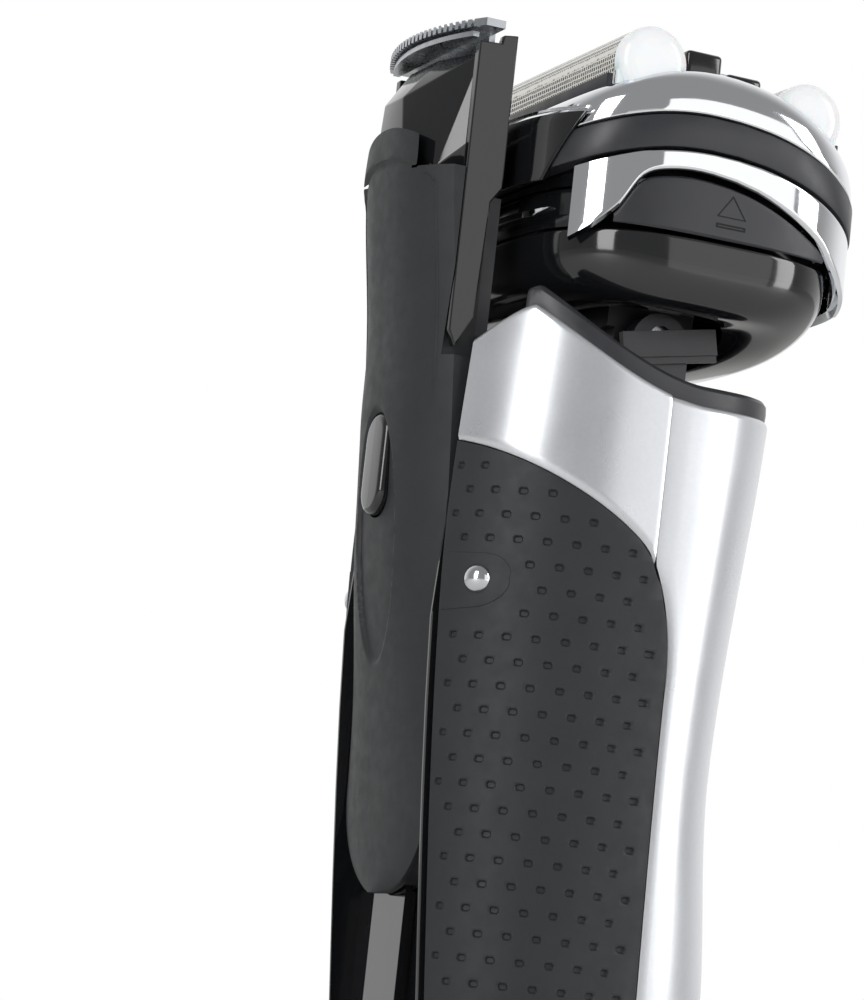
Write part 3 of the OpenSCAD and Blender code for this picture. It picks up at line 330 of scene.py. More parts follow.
def piece(name, bm, body, slot, material=None, stands_for=(), sharp=34):
    """Turns a bmesh into a finished object that rides on a body and wears a finish."""
    bmesh.ops.recalc_face_normals(bm, faces=bm.faces)
    mesh = bpy.data.meshes.new(name)
    bm.to_mesh(mesh)
    bm.free()
    mesh.shade_smooth()
    mesh.set_sharp_from_angle(angle=math.radians(sharp))
    mesh.materials.append(FINISHES[material or SLOT_FINISH[slot]])
    obj = bpy.data.objects.new(name, mesh)
    bpy.context.scene.collection.objects.link(obj)
    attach(obj, body)
    if stands_for:
        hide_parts(*stands_for)
    print(f"{name}: {len(mesh.polygons)} faces")
    return obj


# %% [markdown]
# ## The handle's form
# The handle's section is two half superellipses that share a width: a squarer one in front and a rounder one
# behind. Its width and depth change smoothly with height. Every panel is a patch of this one form, so seams
# stay even all the way up.

# %% Section, rim and grip outline
MID_Y, FRONT_N, BACK_N = -3.0, 3.0, 2.6
RIM_Z, TOP_Z, BASE_H = 119.6, 130.0, 9.0
FRONT_LINE = [(0, 16), (43, 18.9), (75, 15.8), (RIM_Z, 19.5), (TOP_Z, 19.5)]
BACK_LINE = [(0, 18), (45, 22.64), (97, 26), (TOP_Z, 24.6)]
SEAM_Y, GAP, PANEL_WALL, GRIP_WALL = -2.3, 0.15, 1.8, 1.6
GRIP_EDGE_Y, GRIP_CORNER_Z, GRIP_TURN = -5.5, 82.7, (-1.8, 99.5)
GRIP_RISE, GRIP_BACK_Y, COVER_X = 12.7, 20.8, 15.15


def mix(a, b, f):
    return a + (b - a) * f


def power(v, p):
    return math.copysign(abs(v) ** p, v)


def smooth(z, t):
    """A smooth curve through a few named points."""
    def slope(i):
        a, b = max(0, i - 1), min(len(t) - 1, i + 1)
        return (t[b][1] - t[a][1]) / (t[b][0] - t[a][0])

    i = max(k for k in range(len(t) - 1) if k == 0 or z >= t[k][0])
    h = t[i + 1][0] - t[i][0]
    s = (z - t[i][0]) / h
    return ((2 * s**3 - 3 * s * s + 1) * t[i][1] + (s**3 - 2 * s * s + s) * h * slope(i)
            + (3 * s * s - 2 * s**3) * t[i + 1][1] + (s**3 - s * s) * h * slope(i + 1))


def half_w(z):
    return 22 + 6 * math.sin(math.pi / 2 * min(1, z / TOP_Z))


def reach(z, front):
    return smooth(z, FRONT_LINE if front else BACK_LINE)


def sunk(x, y, z, off):
    """The surface point (x, y, z), moved off millimetres inwards."""
    front = y < MID_Y
    n, a, b = (FRONT_N if front else BACK_N), half_w(z), reach(z, front)
    nx = power(x / a, n - 1) / a
    ny = power((y - MID_Y) / b, n - 1) / b
    size = math.hypot(nx, ny)
    return (x - off * nx / size, y - off * ny / size, z)


def at_angle(t, z, off=0.0):
    """A point on the handle at t degrees round its section."""
    c, s = math.cos(math.radians(t)), math.sin(math.radians(t))
    n = FRONT_N if s < 0 else BACK_N
    return sunk(half_w(z) * power(c, 2 / n), MID_Y + reach(z, s < 0) * power(s, 2 / n), z, off)


def at_depth(y, z, off=0.0):
    """A point on the handle's right side at a place from front to back."""
    front = y < MID_Y
    n = FRONT_N if front else BACK_N
    return sunk(half_w(z) * max(1e-6, 1 - (abs(y - MID_Y) / reach(z, front)) ** n) ** (1 / n), y, z, off)


def angle_at(y, z):
    front = y < MID_Y
    share = min(1, abs(y - MID_Y) / reach(z, front)) ** ((FRONT_N if front else BACK_N) / 2)
    return math.copysign(math.degrees(math.asin(share)), y - MID_Y)


def back_at(x, z):
    return MID_Y + reach(z, False) * (1 - (x / half_w(z)) ** BACK_N) ** (1 / BACK_N)


def rim(y):
    """Height of the rim: low on the sides, with peaks at the back corners."""
    if y < -7:
        return RIM_Z + 1.1 * ((-y - 7) / 16) ** 2
    return RIM_Z + (9.9 * ((y + 7) / 22.5) ** 1.7 if y < 15.5 else 9.9 - 4.5 * ((y - 15.5) / 4.8) ** 1.5)


def grip_front(z):
    if z < GRIP_CORNER_Z:
        return GRIP_EDGE_Y - 4 * ((GRIP_CORNER_Z - z) / GRIP_CORNER_Z) ** 1.4
    if z < GRIP_TURN[1]:
        return mix(GRIP_EDGE_Y, GRIP_TURN[0], ((z - GRIP_CORNER_Z) / (GRIP_TURN[1] - GRIP_CORNER_Z)) ** 2.6)
    return SEAM_Y


def grip_top(y):
    if y < GRIP_TURN[0]:
        return mix(GRIP_CORNER_Z, GRIP_TURN[1],
                   (max(0, y - GRIP_EDGE_Y) / (GRIP_TURN[0] - GRIP_EDGE_Y)) ** (1 / 2.6))
    return GRIP_TURN[1] + GRIP_RISE * ((y - GRIP_TURN[0]) / (GRIP_BACK_Y - GRIP_TURN[0])) ** 0.72


def panel_edge(z):
    return min(grip_front(z), SEAM_Y) - GAP if z < GRIP_TURN[1] else SEAM_Y - GAP / 2


def roll(distance, radius):
    """How far a surface sinks near an edge that is rolled over with that radius."""
    d = max(0.0, min(radius, distance))
    return radius - math.sqrt(max(0, radius * radius - (radius - d) ** 2))


# %% [markdown]
# ## Side panels
# The two silver panels above the grips are injection-moulded and lacquered. Their upper rim is rolled over,
# which catches a thin bright line below the dark collar. The roll is part of the placing rule, so it follows
# the rim's curve exactly. Walls come from solidify.

# %% Side panels
def side_panel():
    def place(u, v):
        v = 1 - (1 - v) ** 1.7
        y0 = mix(SEAM_Y + GAP / 2, back_at(COVER_X, RIM_Z), u)
        low, high = grip_top(y0) + 2 * GAP, rim(y0)
        z = mix(low, high, v)
        y = mix(SEAM_Y + GAP / 2, back_at(COVER_X, z), u)
        off = roll(high - z, 0.9) + roll(z - low, 0.3) + roll((y - SEAM_Y), 0.25)
        return at_depth(y, z, off)
    return rounded(walled(sheet(72, 44, place), PANEL_WALL), 0.12, 1, 60)


piece("side_panel_right_skin", side_panel(), "handle", "silver_paint", None, ["side_panel_right"])
piece("side_panel_left_skin", mirrored(side_panel()), "handle", "silver_paint", None, ["side_panel_left"])

# %% [markdown]
# ## Front panel
# One lacquered shell wraps round the front from grip to grip. It is a patch of the same form, walled, and then
# opened for the power button, the lock and the display. A boolean cuts the openings, because their outlines
# don't follow the grid.

# %% Front panel and its openings
RING_D, BUTTON_D, BUTTON_Z, LOCK_Z = 17.0, 13.0, 84.0, 105.5
WINDOW_W, WINDOW_H, WINDOW_Z = 13.0, 26.0, 16.0


def disc(radius, low, high, around, sides=64):
    """A round bar along Y between two depths, round a point (x, z)."""
    bm = bmesh.new()
    turn = Matrix.Translation(Vector((around[0], (low + high) / 2, around[1])) * MM) @ Matrix.Rotation(math.pi / 2, 4, "X")
    bmesh.ops.create_cone(bm, cap_ends=True, segments=sides, radius1=radius * MM, radius2=radius * MM,
                          depth=(high - low) * MM, matrix=turn)
    return bm


def carved(bm, *cutters):
    """The shape with other shapes cut out of it."""
    objects = []
    for part in (bm, joined(*cutters)):
        bmesh.ops.recalc_face_normals(part, faces=part.faces)
        mesh = bpy.data.meshes.new("carving")
        part.to_mesh(mesh)
        part.free()
        objects.append(bpy.data.objects.new("carving", mesh))
        bpy.context.scene.collection.objects.link(objects[-1])
    cut = objects[0].modifiers.new("cut", "BOOLEAN")
    cut.object = objects[1]
    cut.operation = "DIFFERENCE"
    cut.solver = "EXACT"
    bpy.context.view_layer.update()
    result = bmesh.new()
    result.from_mesh(objects[0].evaluated_get(bpy.context.evaluated_depsgraph_get()).to_mesh())
    for obj in objects:
        bpy.data.objects.remove(obj)
    bmesh.ops.remove_doubles(result, verts=result.verts, dist=1e-6)
    return result


def front_panel():
    low = BASE_H + GAP

    def place(u, v):
        v = 1 - (1 - v) ** 1.5
        z = mix(low, RIM_Z, v)
        edge = angle_at(panel_edge(z), z)
        t = -90 + (2 * u - 1) * (90 + edge)
        y = at_angle(t, z)[1]
        high = mix(low, rim(y), v)
        off = roll(rim(y) - high, 0.9) + roll((1 - abs(2 * u - 1)) * 30, 0.3) + roll(high - low, 0.3)
        return at_angle(t, high, off)
    return walled(sheet(120, 96, place), PANEL_WALL)


openings = [disc(RING_D / 2 + GAP, -40, -10, (0, BUTTON_Z)), block((-8.2, -30, LOCK_Z - 5.2), (8.2, -10, LOCK_Z + 5.2)),
            block((-WINDOW_W / 2 - GAP, -30, WINDOW_Z - GAP), (WINDOW_W / 2 + GAP, -10, WINDOW_Z + WINDOW_H + GAP))]
piece("front_panel_skin", carved(front_panel(), *openings), "handle", "silver_paint", None, ["front_panel"])

# %% [markdown]
# ## Rubber grips
# The grip is over-moulded elastomer with rows of small round dimples, set like bricks. It is drawn flat
# first: an even grid, trimmed along the swept outline with bisect cuts. In every second row, every second
# cell is inset, its corners are cut to make it round, and it is sunk. Then the whole sheet is wrapped on the
# handle's side by arc length,
# so that the dimples keep their size and spacing.

# %% Wrapping by arc length
DIMPLE_STEP = (1.82, 1.5)
DIMPLE_DEPTH = 0.4
STUD_Y, STUD_Z = 17.9, 94.8
arc_tables = {}


def arc_table(z):
    """Angles and arc lengths along the right side at a height, from the grip's front line to the back."""
    key = round(z, 1)
    if key not in arc_tables:
        start = angle_at(grip_front(min(key, GRIP_CORNER_Z)), key)
        rows, total = [(start, 0.0)], 0.0
        for k in range(1, 81):
            t = mix(start, 89, k / 80)
            a, b = at_angle(rows[-1][0], key), at_angle(t, key)
            total += math.dist(a, b)
            rows.append((t, total))
        arc_tables[key] = rows
    return arc_tables[key]


def read_table(rows, value, give, by):
    """Reads between the rows of a table that rises in column by."""
    for a, b in zip(rows, rows[1:]):
        if value <= b[by]:
            return mix(a[give], b[give], (value - a[by]) / (b[by] - a[by]))
    return rows[-1][give]


def wrap(a, z, depth):
    """The place on the right side that is a millimetres behind the grip's front line."""
    return at_angle(read_table(arc_table(z), a, 0, 1), z, depth)


def flat_of(y, z):
    """The flat place (a, z) of a point on the side."""
    return read_table(arc_table(z), angle_at(y, z), 1, 0), z


# %% Grip
def trimmed_outline(bm):
    """Cuts the flat sheet along the grip's corner and its swept top edge."""
    ys = [GRIP_EDGE_Y + 0.004, -5.45, -5.2, -4.7, -4.0, -3.2, -2.4, GRIP_TURN[0]]
    ys += [mix(0.0, GRIP_BACK_Y + 1.5, k / 12) for k in range(13)]
    points = [flat_of(y, grip_top(y)) for y in ys]
    for (a0, z0), (a1, z1) in zip(points, points[1:]):
        out = Vector((z0 - z1, a1 - a0, 0))
        geometry = bm.verts[:] + bm.edges[:] + bm.faces[:]
        bmesh.ops.bisect_plane(bm, geom=geometry, dist=1e-7, plane_co=Vector((a0, z0, 0)) * MM, plane_no=out,
                               clear_outer=True)
    return points


def inside_by(points, a, z):
    """How far inside the top outline a flat point lies."""
    gaps = [((a - p[0]) * (p[1] - q[1]) + (z - p[1]) * (q[0] - p[0])) / math.dist(p, q)
            for p, q in zip(points, points[1:])]
    return -max(gaps)


def grip():
    step_a, step_z = DIMPLE_STEP
    low = BASE_H + GAP
    count_a, count_z = 21, 70
    bm = bmesh.new()
    middle = Matrix.Translation(Vector((count_a * step_a / 2, low + count_z * step_z / 2, 0)) * MM)
    size = Matrix.Diagonal((count_a * step_a * MM, count_z * step_z * MM, 1, 1))
    bmesh.ops.create_grid(bm, x_segments=count_a, y_segments=count_z, size=0.5, matrix=middle @ size)
    points = trimmed_outline(bm)
    cells = []
    for f in bm.faces:
        a, z = f.calc_center_median()[0] / MM, f.calc_center_median()[1] / MM
        whole = abs(f.calc_area() / MM / MM - step_a * step_z) < 0.01
        column, row = int(a / step_a), int((z - low) / step_z)
        chosen = row % 2 == 0 and (column + row // 2) % 2
        x, y, _ = wrap(a, z, 0)
        flag = y > STUD_Y - 4.6 and abs(z - STUD_Z + 0.3) < 4.6
        clear = a > 1.7 and z > low + 1.7 and x > COVER_X + 0.9 and inside_by(points, a, z) > 1.5
        if whole and chosen and clear and not flag:
            cells.append(f)
    bmesh.ops.inset_individual(bm, faces=cells, thickness=0.34 * MM)
    corners = list({v for f in cells for v in f.verts})
    bmesh.ops.bevel(bm, geom=corners, offset=0.28 * MM, offset_type="OFFSET", segments=1, profile=0.5,
                    affect="VERTICES", material=-1)
    rounds = [f for f in bm.faces if len(f.verts) == 8 and f.calc_area() < 1.5 * MM * MM]
    bmesh.ops.inset_individual(bm, faces=rounds, thickness=0.11 * MM, depth=-0.1 * MM)
    bmesh.ops.inset_individual(bm, faces=rounds, thickness=0.14 * MM, depth=-(DIMPLE_DEPTH - 0.1) * MM)
    for v in bm.verts:
        a, z, depth = v.co.x / MM, v.co.y / MM, -v.co.z / MM
        v.co = Vector(wrap(a, z, depth + roll(a, 0.25))) * MM
    bmesh.ops.bisect_plane(bm, geom=bm.verts[:] + bm.edges[:] + bm.faces[:], dist=1e-7,
                           plane_co=Vector((COVER_X, 0, 0)) * MM, plane_no=(-1, 0, 0), clear_outer=True)
    print("Dimples on a grip:", len(rounds))
    return rounded(walled(bm, GRIP_WALL - 0.1), 0.22, 2, 66)


piece("grip_right_skin", grip(), "handle", "grip_rubber", None, ["grip_right"], 44)
piece("grip_left_skin", mirrored(grip()), "handle", "grip_rubber", None, ["grip_left"], 44)


# %% [markdown]
# A smooth tab runs in from the back edge and carries the charging contact. Its upper edge is straight, and its
# lower edge swings up round the stud. It stands a tenth of a millimetre proud.

# %% Contact tab and stud
def contact_tab():
    def place(u, v):
        y = mix(STUD_Y - 3.0, 20.4, u)
        end = max(0, (STUD_Y - y) / 3.1)
        high = STUD_Z + 3.2 * (1 - end**2.4) ** (1 / 2.4)
        low = STUD_Z - mix(3.0, 4.0, u) * (1 - end**2) ** 0.5
        return at_depth(y, mix(low, high, v), -0.1)
    return rounded(walled(sheet(26, 12, place), 0.4), 0.06, 1, 60)


def stud():
    at = at_depth(STUD_Y, STUD_Z)
    out = Vector(at) - Vector(at_depth(STUD_Y, STUD_Z, 1))
    bm = bmesh.new()
    profile = [(0.0, 1.25), (0.5, 1.2), (1.0, 1.02), (1.45, 0.7), (1.78, 0.25), (1.9, -0.3), (1.9, -1.0)]
    verts = [bmesh.ops.create_vert(bm, co=(r * MM, 0, h * MM))["vert"][0] for r, h in profile]
    edges = [bm.edges.new(pair) for pair in zip(verts, verts[1:])]
    bmesh.ops.spin(bm, geom=verts + edges, cent=(0, 0, 0), axis=(0, 0, 1), angle=2 * math.pi, steps=40, use_merge=True)
    bmesh.ops.remove_doubles(bm, verts=bm.verts, dist=1e-6)
    bmesh.ops.holes_fill(bm, edges=[e for e in bm.edges if e.is_boundary])
    turn = out.to_track_quat("Z", "Y").to_matrix().to_4x4()
    bmesh.ops.transform(bm, verts=bm.verts, matrix=Matrix.Translation(Vector(at) * MM) @ turn)
    return bm


piece("contact_tabs", joined(contact_tab(), mirrored(contact_tab())), "handle", "grip_rubber")
piece("contact_stud_domes", joined(stud(), mirrored(stud())), "handle", "steel", "polished_steel", ["contact_studs"])


# %% [markdown]
# ## Collar and base cap
# A dark collar sits inside the rim and hides the joint between the silver panels and the head's bellows space.
# It is a C: open at the back, where the trimmer passes. Its section is a closed loop carried round the rim.

# %% Collar
def closed_ends(bm):
    bmesh.ops.holes_fill(bm, edges=[e for e in bm.edges if e.is_boundary])
    return bm


def loop_point(loop, u):
    """The corner of a closed outline at share u of the way round."""
    return loop[round(u * len(loop)) % len(loop)]


COLLAR = [(0.5, -0.6), (0.42, 0.9), (0.5, 1.9), (0.9, 2.4), (1.5, 2.6), (2.8, 2.6), (3.2, 2.2), (3.2, -0.6)]


def collar():
    def place(u, v):
        off, up = loop_point(COLLAR, v)
        t = mix(-226, 46, u)
        y = at_angle(t, RIM_Z)[1]
        return at_angle(t, rim(min(y, 20.3)) + up, off)
    return closed_ends(sheet(180, len(COLLAR), place))


piece("collar_ring", rounded(collar(), 0.15, 2, 40), "handle", "satin_black", None, ["neck_collar"])

# %% [markdown]
# The base cap is a shallow cup with a rolled lower edge. The charging recess is cut through its floor.

# %% Base cap
CAP_PROFILE = [(0.0, 4.2), (0.0, 3.2), (0.25, 2.3), (0.8, 1.5), (1.5, 0.95), (2.4, 0.55), (4.0, 0.25), (6.5, 0.1),
               (8.7, 0.05), (BASE_H, 0.3)]
INLET = dict(x=5.5, y=(-11.5, -4.5))


def base_cap():
    def place(u, v):
        z, off = CAP_PROFILE[round(v * (len(CAP_PROFILE) - 1))]
        x, y, _ = at_angle(360 * u, 3, off)
        return x, y, z
    return closed_ends(sheet(120, len(CAP_PROFILE) - 1, place))


def cap_hollow():
    def place(u, v):
        x, y, _ = at_angle(360 * u, 6, 3)
        return x, y, mix(2.6, BASE_H + 2, v)
    return closed_ends(sheet(96, 1, place))


inlet_hole = block((-INLET["x"] - 1.6, INLET["y"][0] - 1.6, -1), (INLET["x"] + 1.6, INLET["y"][1] + 1.6, 4))
piece("base_cap_cup", carved(base_cap(), cap_hollow(), inlet_hole), "handle", "satin_black", None, ["base_cap"])


# %% [markdown]
# ## Head pod and bright frame
# In plan the head is a superellipse, nearly a rounded box. Below the crease it is a dark bowl that turns on the
# pivot. Above the crease stands a chromed frame, cut away on each end in an arch that holds a release button.

# %% Head outline
PIVOT = (0.0, -5.0, 129.4)
HEAD_Y, HEAD_L, HEAD_D, HEAD_N, HEAD_WALL = -8.0, 56.0, 46.2, 3.5, 1.6
PART_Z, BAND_H, FRAME_H, BAND_DROP, FRAME_DROP, CREASE_Z = 151.4, 4.2, 6.7, 6.3, 7.6, 140.3
FORWARD_LEAN = 0.07
ARCH = [(-30, 136.0), (-24.5, 140.0), (-21, 143.0), (-12, 147.0), (-4.4, 148.3), (1.5, 147.9), (4.6, 146.5),
        (7.1, 142.4), (12, 137.6), (15, 136.0)]


def head_at(t, off=0.0):
    """A point on the head's plan outline at t degrees, drawn in by off."""
    c, s = math.cos(math.radians(t)), math.sin(math.radians(t))
    return (HEAD_L / 2 - off) * power(c, 2 / HEAD_N), HEAD_Y + (HEAD_D / 2 - off) * power(s, 2 / HEAD_N)


def even_angle(u, start=0.0, turn=360.0):
    """An angle that steps evenly along the superellipse, not round its centre."""
    t = start + u * turn
    return t + 8.5 * math.sin(math.radians(4 * t))


def away(y):
    return ((y - HEAD_Y) / (HEAD_D / 2)) ** 2


def part_line(y):
    return PART_Z - BAND_DROP * away(y) + FORWARD_LEAN * (y - HEAD_Y)


def band_line(y):
    return part_line(y) + BAND_H


def frame_line(y):
    return PART_Z + BAND_H + FRAME_H - FRAME_DROP * min(1, away(y)) + FORWARD_LEAN * (y - HEAD_Y)


def arch(y):
    return smooth(max(-30, min(15, y)), ARCH)


# %% Pod
POD_STEPS = 26


def head_pod():
    def outer(t, v):
        c, s = math.cos(math.radians(t)), math.sin(math.radians(t))
        chin = max(0, -s) ** 5
        q = 1 - math.sqrt(max(0, 1 - v**2.4))
        z = mix(CREASE_Z - 0.1, PIVOT[2] + 2.4 - 3.5 * chin, v)
        front, back = -28.9 + (8.7 + 2.6 * chin) * q, 13.2 - 5.6 * q
        lip = roll((CREASE_Z - z), 0.35)
        return ((27.7 - 3.4 * q - lip) * power(c, 2 / 3.2),
                (front + back) / 2 + ((back - front) / 2 - lip) * power(s, 2 / 3.2), z)

    def inner(t, high):
        c, s = math.cos(math.radians(t)), math.sin(math.radians(t))
        return (mix(20.2, 24.6, high) * power(c, 0.5), mix(-5, -7.8, high) + mix(10.0, 19.2, high) * power(s, 0.5),
                CREASE_Z - 0.1 if high else outer(t, 1)[2])

    def place(u, v):
        t = even_angle(u)
        k = round(v * (POD_STEPS + 3))
        if k <= POD_STEPS:
            return outer(t, k / POD_STEPS)
        return inner(t, k - POD_STEPS - 1) if k < POD_STEPS + 3 else outer(t, 0)
    return sheet(144, POD_STEPS + 3, place)


piece("head_pod_shell", rounded(head_pod(), 0.25, 2, 50), "head", "satin_black", "polished_black_abs", ["head_pod"])


# %% Bright frame
def head_frame():
    def place(u, v):
        t = even_angle(u, -90 - 144, 288)
        x, y = head_at(t)
        low, high = arch(y) + 0.3, part_line(y) - 0.25
        z = mix(low, high, v)
        off = roll(z - low, 0.55) + roll(high - z, 0.35)
        x, y = head_at(t, off)
        return x, y, z
    return rounded(walled(sheet(240, 26, place), HEAD_WALL - 0.2), 0.15, 1, 60)


piece("head_frame_band", head_frame(), "head", "bright_chrome", None, ["head_frame"])

# %% [markdown]
# Each end of the head has a release button under the arch. A triangle over a bar is engraved on it, the usual
# sign for a lid or cassette that lifts off. The groove is not cut: a near-black outline, laid just proud of the
# key's face, is painted shade of the engraving.

# %% Release buttons
MARK_Z, MARK_Y = 144.6, -8.0


def side_x(y, off):
    q = min(0.999, abs(y - HEAD_Y) / (HEAD_D / 2))
    return (HEAD_L / 2 - off) * (1 - q**HEAD_N) ** (1 / HEAD_N)


def release():
    def place(u, v):
        y = mix(-22.2, 7.2, u)
        low, high = CREASE_Z + 0.45, max(arch(y) - 0.45, CREASE_Z + 0.9)
        z = mix(low, high, v)
        return side_x(y, 0.5 + roll(high - z, 0.5) + roll(z - low, 0.25)), y, z
    return rounded(walled(sheet(80, 22, place), 1.4), 0.12, 1, 60)


def outline_mark(sides, radius, centre, squash, turn):
    """A flat closed outline, a third of a millimetre wide, wrapped on the button, that stands as painted shade for an
    engraved groove.
    """
    bm = bmesh.new()
    bmesh.ops.create_circle(bm, cap_ends=True, segments=sides, radius=radius * MM,
                            matrix=Matrix.Rotation(math.radians(turn), 4, "Z"))
    bmesh.ops.scale(bm, vec=squash, verts=bm.verts)
    inner = bm.faces[:]
    bmesh.ops.inset_individual(bm, faces=inner, thickness=0.3 * MM)
    bmesh.ops.delete(bm, geom=inner, context="FACES")
    for v in bm.verts:
        y, z = centre[0] + v.co.x / MM, centre[1] + v.co.y / MM
        v.co = Vector((side_x(y, 0.46), y, z)) * MM
    return walled(bm, 0.3)


marks = joined(outline_mark(3, 2.4, (MARK_Y, MARK_Z), (1.0, 0.82, 1), 0),
               outline_mark(4, 2.9, (MARK_Y, MARK_Z - 2.1), (1.0, 0.14, 1), 45))
right_marks = marks.copy()
piece("release_right_key", release(), "release_key_right", "satin_black", None, ["release_right"])
piece("release_left_key", mirrored(release()), "release_key_left", "satin_black", None, ["release_left"])
# These near-black outlines are painted shade: they stand in for the dark of the engraved grooves.
piece("release_mark_shade_right", right_marks, "release_key_right", "satin_black", "painted_groove_shade")
piece("release_mark_shade_left", mirrored(marks), "release_key_left", "satin_black", "painted_groove_shade")

# %% [markdown]
# ## Cassette
# The lift-off cassette has a dark band with a chromed frame above it. Both are hoops: one outline of a few
# corners, carried round the head. The frame rises at the ends and falls towards front and back.

# %% Band and frame
BAND = [(-0.05, 0.12), (-0.15, 0.35), (-0.15, BAND_H - 0.25), (-0.05, BAND_H), (2.2, BAND_H), (2.2, 0.12)]


def band():
    def place(u, v):
        off, up = loop_point(BAND, v)
        x, y = head_at(even_angle(u))
        z = part_line(y) + up
        x, y = head_at(even_angle(u), off)
        return x, y, z
    return sheet(200, len(BAND), place)


FRAME = [(0.35, 0.02), (0.1, 0.06), (0.12, 0.3), (0.35, 0.55), (0.75, 0.72), (1.4, 0.88), (2.2, 0.96), (3.1, 1.0),
         (4.0, 0.99), (4.1, 0.82), (2.9, 0.55), (2.2, 0.02)]


def cassette_frame():
    def place(u, v):
        off, share = loop_point(FRAME, v)
        y = head_at(even_angle(u))[1]
        z = mix(band_line(y) + 0.1, frame_line(y), share)
        x, y = head_at(even_angle(u), off)
        return x, y, z
    return sheet(200, len(FRAME), place)


piece("cassette_band_hoop", band(), "cassette", "satin_black", None, ["cassette_band"])
frame_piece = piece("cassette_frame_hoop", cassette_frame(), "cassette", "bright_chrome", None, ["cassette_frame"], 50)
even = frame_piece.modifiers.new("even", "SUBSURF")
even.levels = even.render_levels = 1

# %% [markdown]
# Behind, a smooth black panel with slanted ends is let into the frame, and a bright line runs along its top.

# %% Rear inlay and its bright line
def rear_strip(low, high, half_low, half_high, out, thick):
    def place(u, v):
        x = (2 * u - 1) * mix(half_low, half_high, v)
        l = HEAD_L / 2 + out
        y = HEAD_Y + (HEAD_D / 2 + out) * (1 - (abs(x) / l) ** HEAD_N) ** (1 / HEAD_N)
        return x, y, mix(low, high, v)
    return rounded(walled(sheet(60, 8, place, True), thick), 0.1, 2, 60)


inlay = rear_strip(146.0, 154.5, 18, 23.4, 0.55, 0.5)
piece("rear_inlay_panel", inlay, "cassette", "gloss_black", None, ["rear_inlay"])
piece("rear_bright_line", rear_strip(154.75, 155.15, 23.5, 23.8, 0.62, 0.3), "cassette", "bright_chrome")
piece("rear_lower_bar", rear_strip(141.6, 142.5, 16.5, 19.6, 0.25, 1.2), "head", "bright_chrome")


# %% [markdown]
# ## Foils
# Each foil is a thin arch of pierced nickel, bent over and held at its ends by milky caps. The sheet follows
# half a circle and runs straight down on both sides.

# %% Foils and caps
FOIL_Z, FOIL_R, FOIL_PITCH, FOIL_L = 162.2, 4.7, 22.5, 45.0
FOIL_STEP = 1.45


def foil(y0, z0):
    def place(u, v):
        s = (2 * v - 1) * (math.pi * FOIL_R / 2 + 5)
        bend = max(-math.pi / 2, min(math.pi / 2, s / FOIL_R))
        down = max(0, abs(s) - math.pi * FOIL_R / 2)
        return mix(-FOIL_L / 2, FOIL_L / 2, u), y0 + FOIL_R * math.sin(bend), z0 + FOIL_R * math.cos(bend) - down
    return walled(sheet(60, 48, place), 0.25)


def foil_cap(y0, z0):
    """One end cap: a turned dome on its side, with a shoulder down to the cassette."""
    bm = bmesh.new()
    profile = [(4.7, 0.0), (4.7, 1.0), (4.62, 1.5), (4.3, 2.05), (3.7, 2.45), (2.8, 2.66), (1.5, 2.7), (0, 2.7)]
    verts = [bmesh.ops.create_vert(bm, co=(h * MM, 0, r * MM))["vert"][0] for r, h in profile]
    edges = [bm.edges.new(pair) for pair in zip(verts, verts[1:])]
    bmesh.ops.spin(bm, geom=verts + edges, cent=(0, 0, 0), axis=(1, 0, 0), angle=2 * math.pi, steps=56, use_merge=True)
    bmesh.ops.remove_doubles(bm, verts=bm.verts, dist=1e-6)
    closed_ends(bm)
    bmesh.ops.translate(bm, verts=bm.verts, vec=Vector((FOIL_L / 2, y0, z0)) * MM)
    foot = rounded(block((FOIL_L / 2, y0 - 4.5, z0 - 5), (FOIL_L / 2 + 1.2, y0 + 4.5, z0)), 0.3)
    return joined(bm, foot)


def foil_rails(y0, z0):
    """Dark rails that clamp the foil's lower edges."""
    edges = (y0 - 5.1, y0 + 5.1)
    bars = [rounded(block((-FOIL_L / 2, y - 0.38, z0 - 5), (FOIL_L / 2, y + 0.38, z0 - 2)), 0.15) for y in edges]
    return joined(*bars)


for side, sign in (("front", -1), ("rear", 1)):
    y0, z0 = HEAD_Y + sign * FOIL_PITCH / 2, FOIL_Z - FOIL_STEP + sign * FOIL_STEP
    body = "foil_unit_" + side
    piece(f"foil_{side}_sheet", foil(y0, z0), body, "foil_steel", None, [f"foil_{side}"])
    caps = joined(foil_cap(y0, z0), mirrored(foil_cap(y0, z0)))
    piece(f"foil_caps_{side}_domes", caps, body, "cap_white", None, [f"foil_caps_{side}"])
    piece(f"foil_rails_{side}", foil_rails(y0, z0), body, "satin_black")

# %% [markdown]
# Between the foils, a steel comb lifts long hairs. It hangs between two black blocks, and its teeth are
# separate small bars with rounded tops.

# %% Centre comb
GUARD_HALF = FOIL_PITCH / 2 - FOIL_R - 1.1
TOOTH_STEP = 1.25


def centre_comb():
    low, high, half = FOIL_Z - 1, FOIL_Z + 2.8, GUARD_HALF - 0.3
    parts = []
    for k in (-1, 1):
        y = HEAD_Y + k * (half - 0.35)
        parts.append(rounded(block((-17.4, y - 0.35, low), (17.4, y + 0.35, high - 1.5)), 0.1))
    count = int(33 / TOOTH_STEP)
    for i in range(count + 1):
        x = -16.4 + i * 32.8 / count
        parts.append(rounded(block((x - 0.34, HEAD_Y - half, high - 1.7), (x + 0.34, HEAD_Y + half, high)), 0.16, 2))
    return joined(*parts)


def guard_blocks():
    rear = block((17.4, HEAD_Y + 0.4, FOIL_Z - 5), (21.6, HEAD_Y + GUARD_HALF, FOIL_Z + 3.6))
    front = block((17.4, HEAD_Y - GUARD_HALF, FOIL_Z - 5), (21.6, HEAD_Y - 0.4, FOIL_Z + 1.6))
    return joined(rounded(rear, 0.6, 3), rounded(front, 0.6, 3))


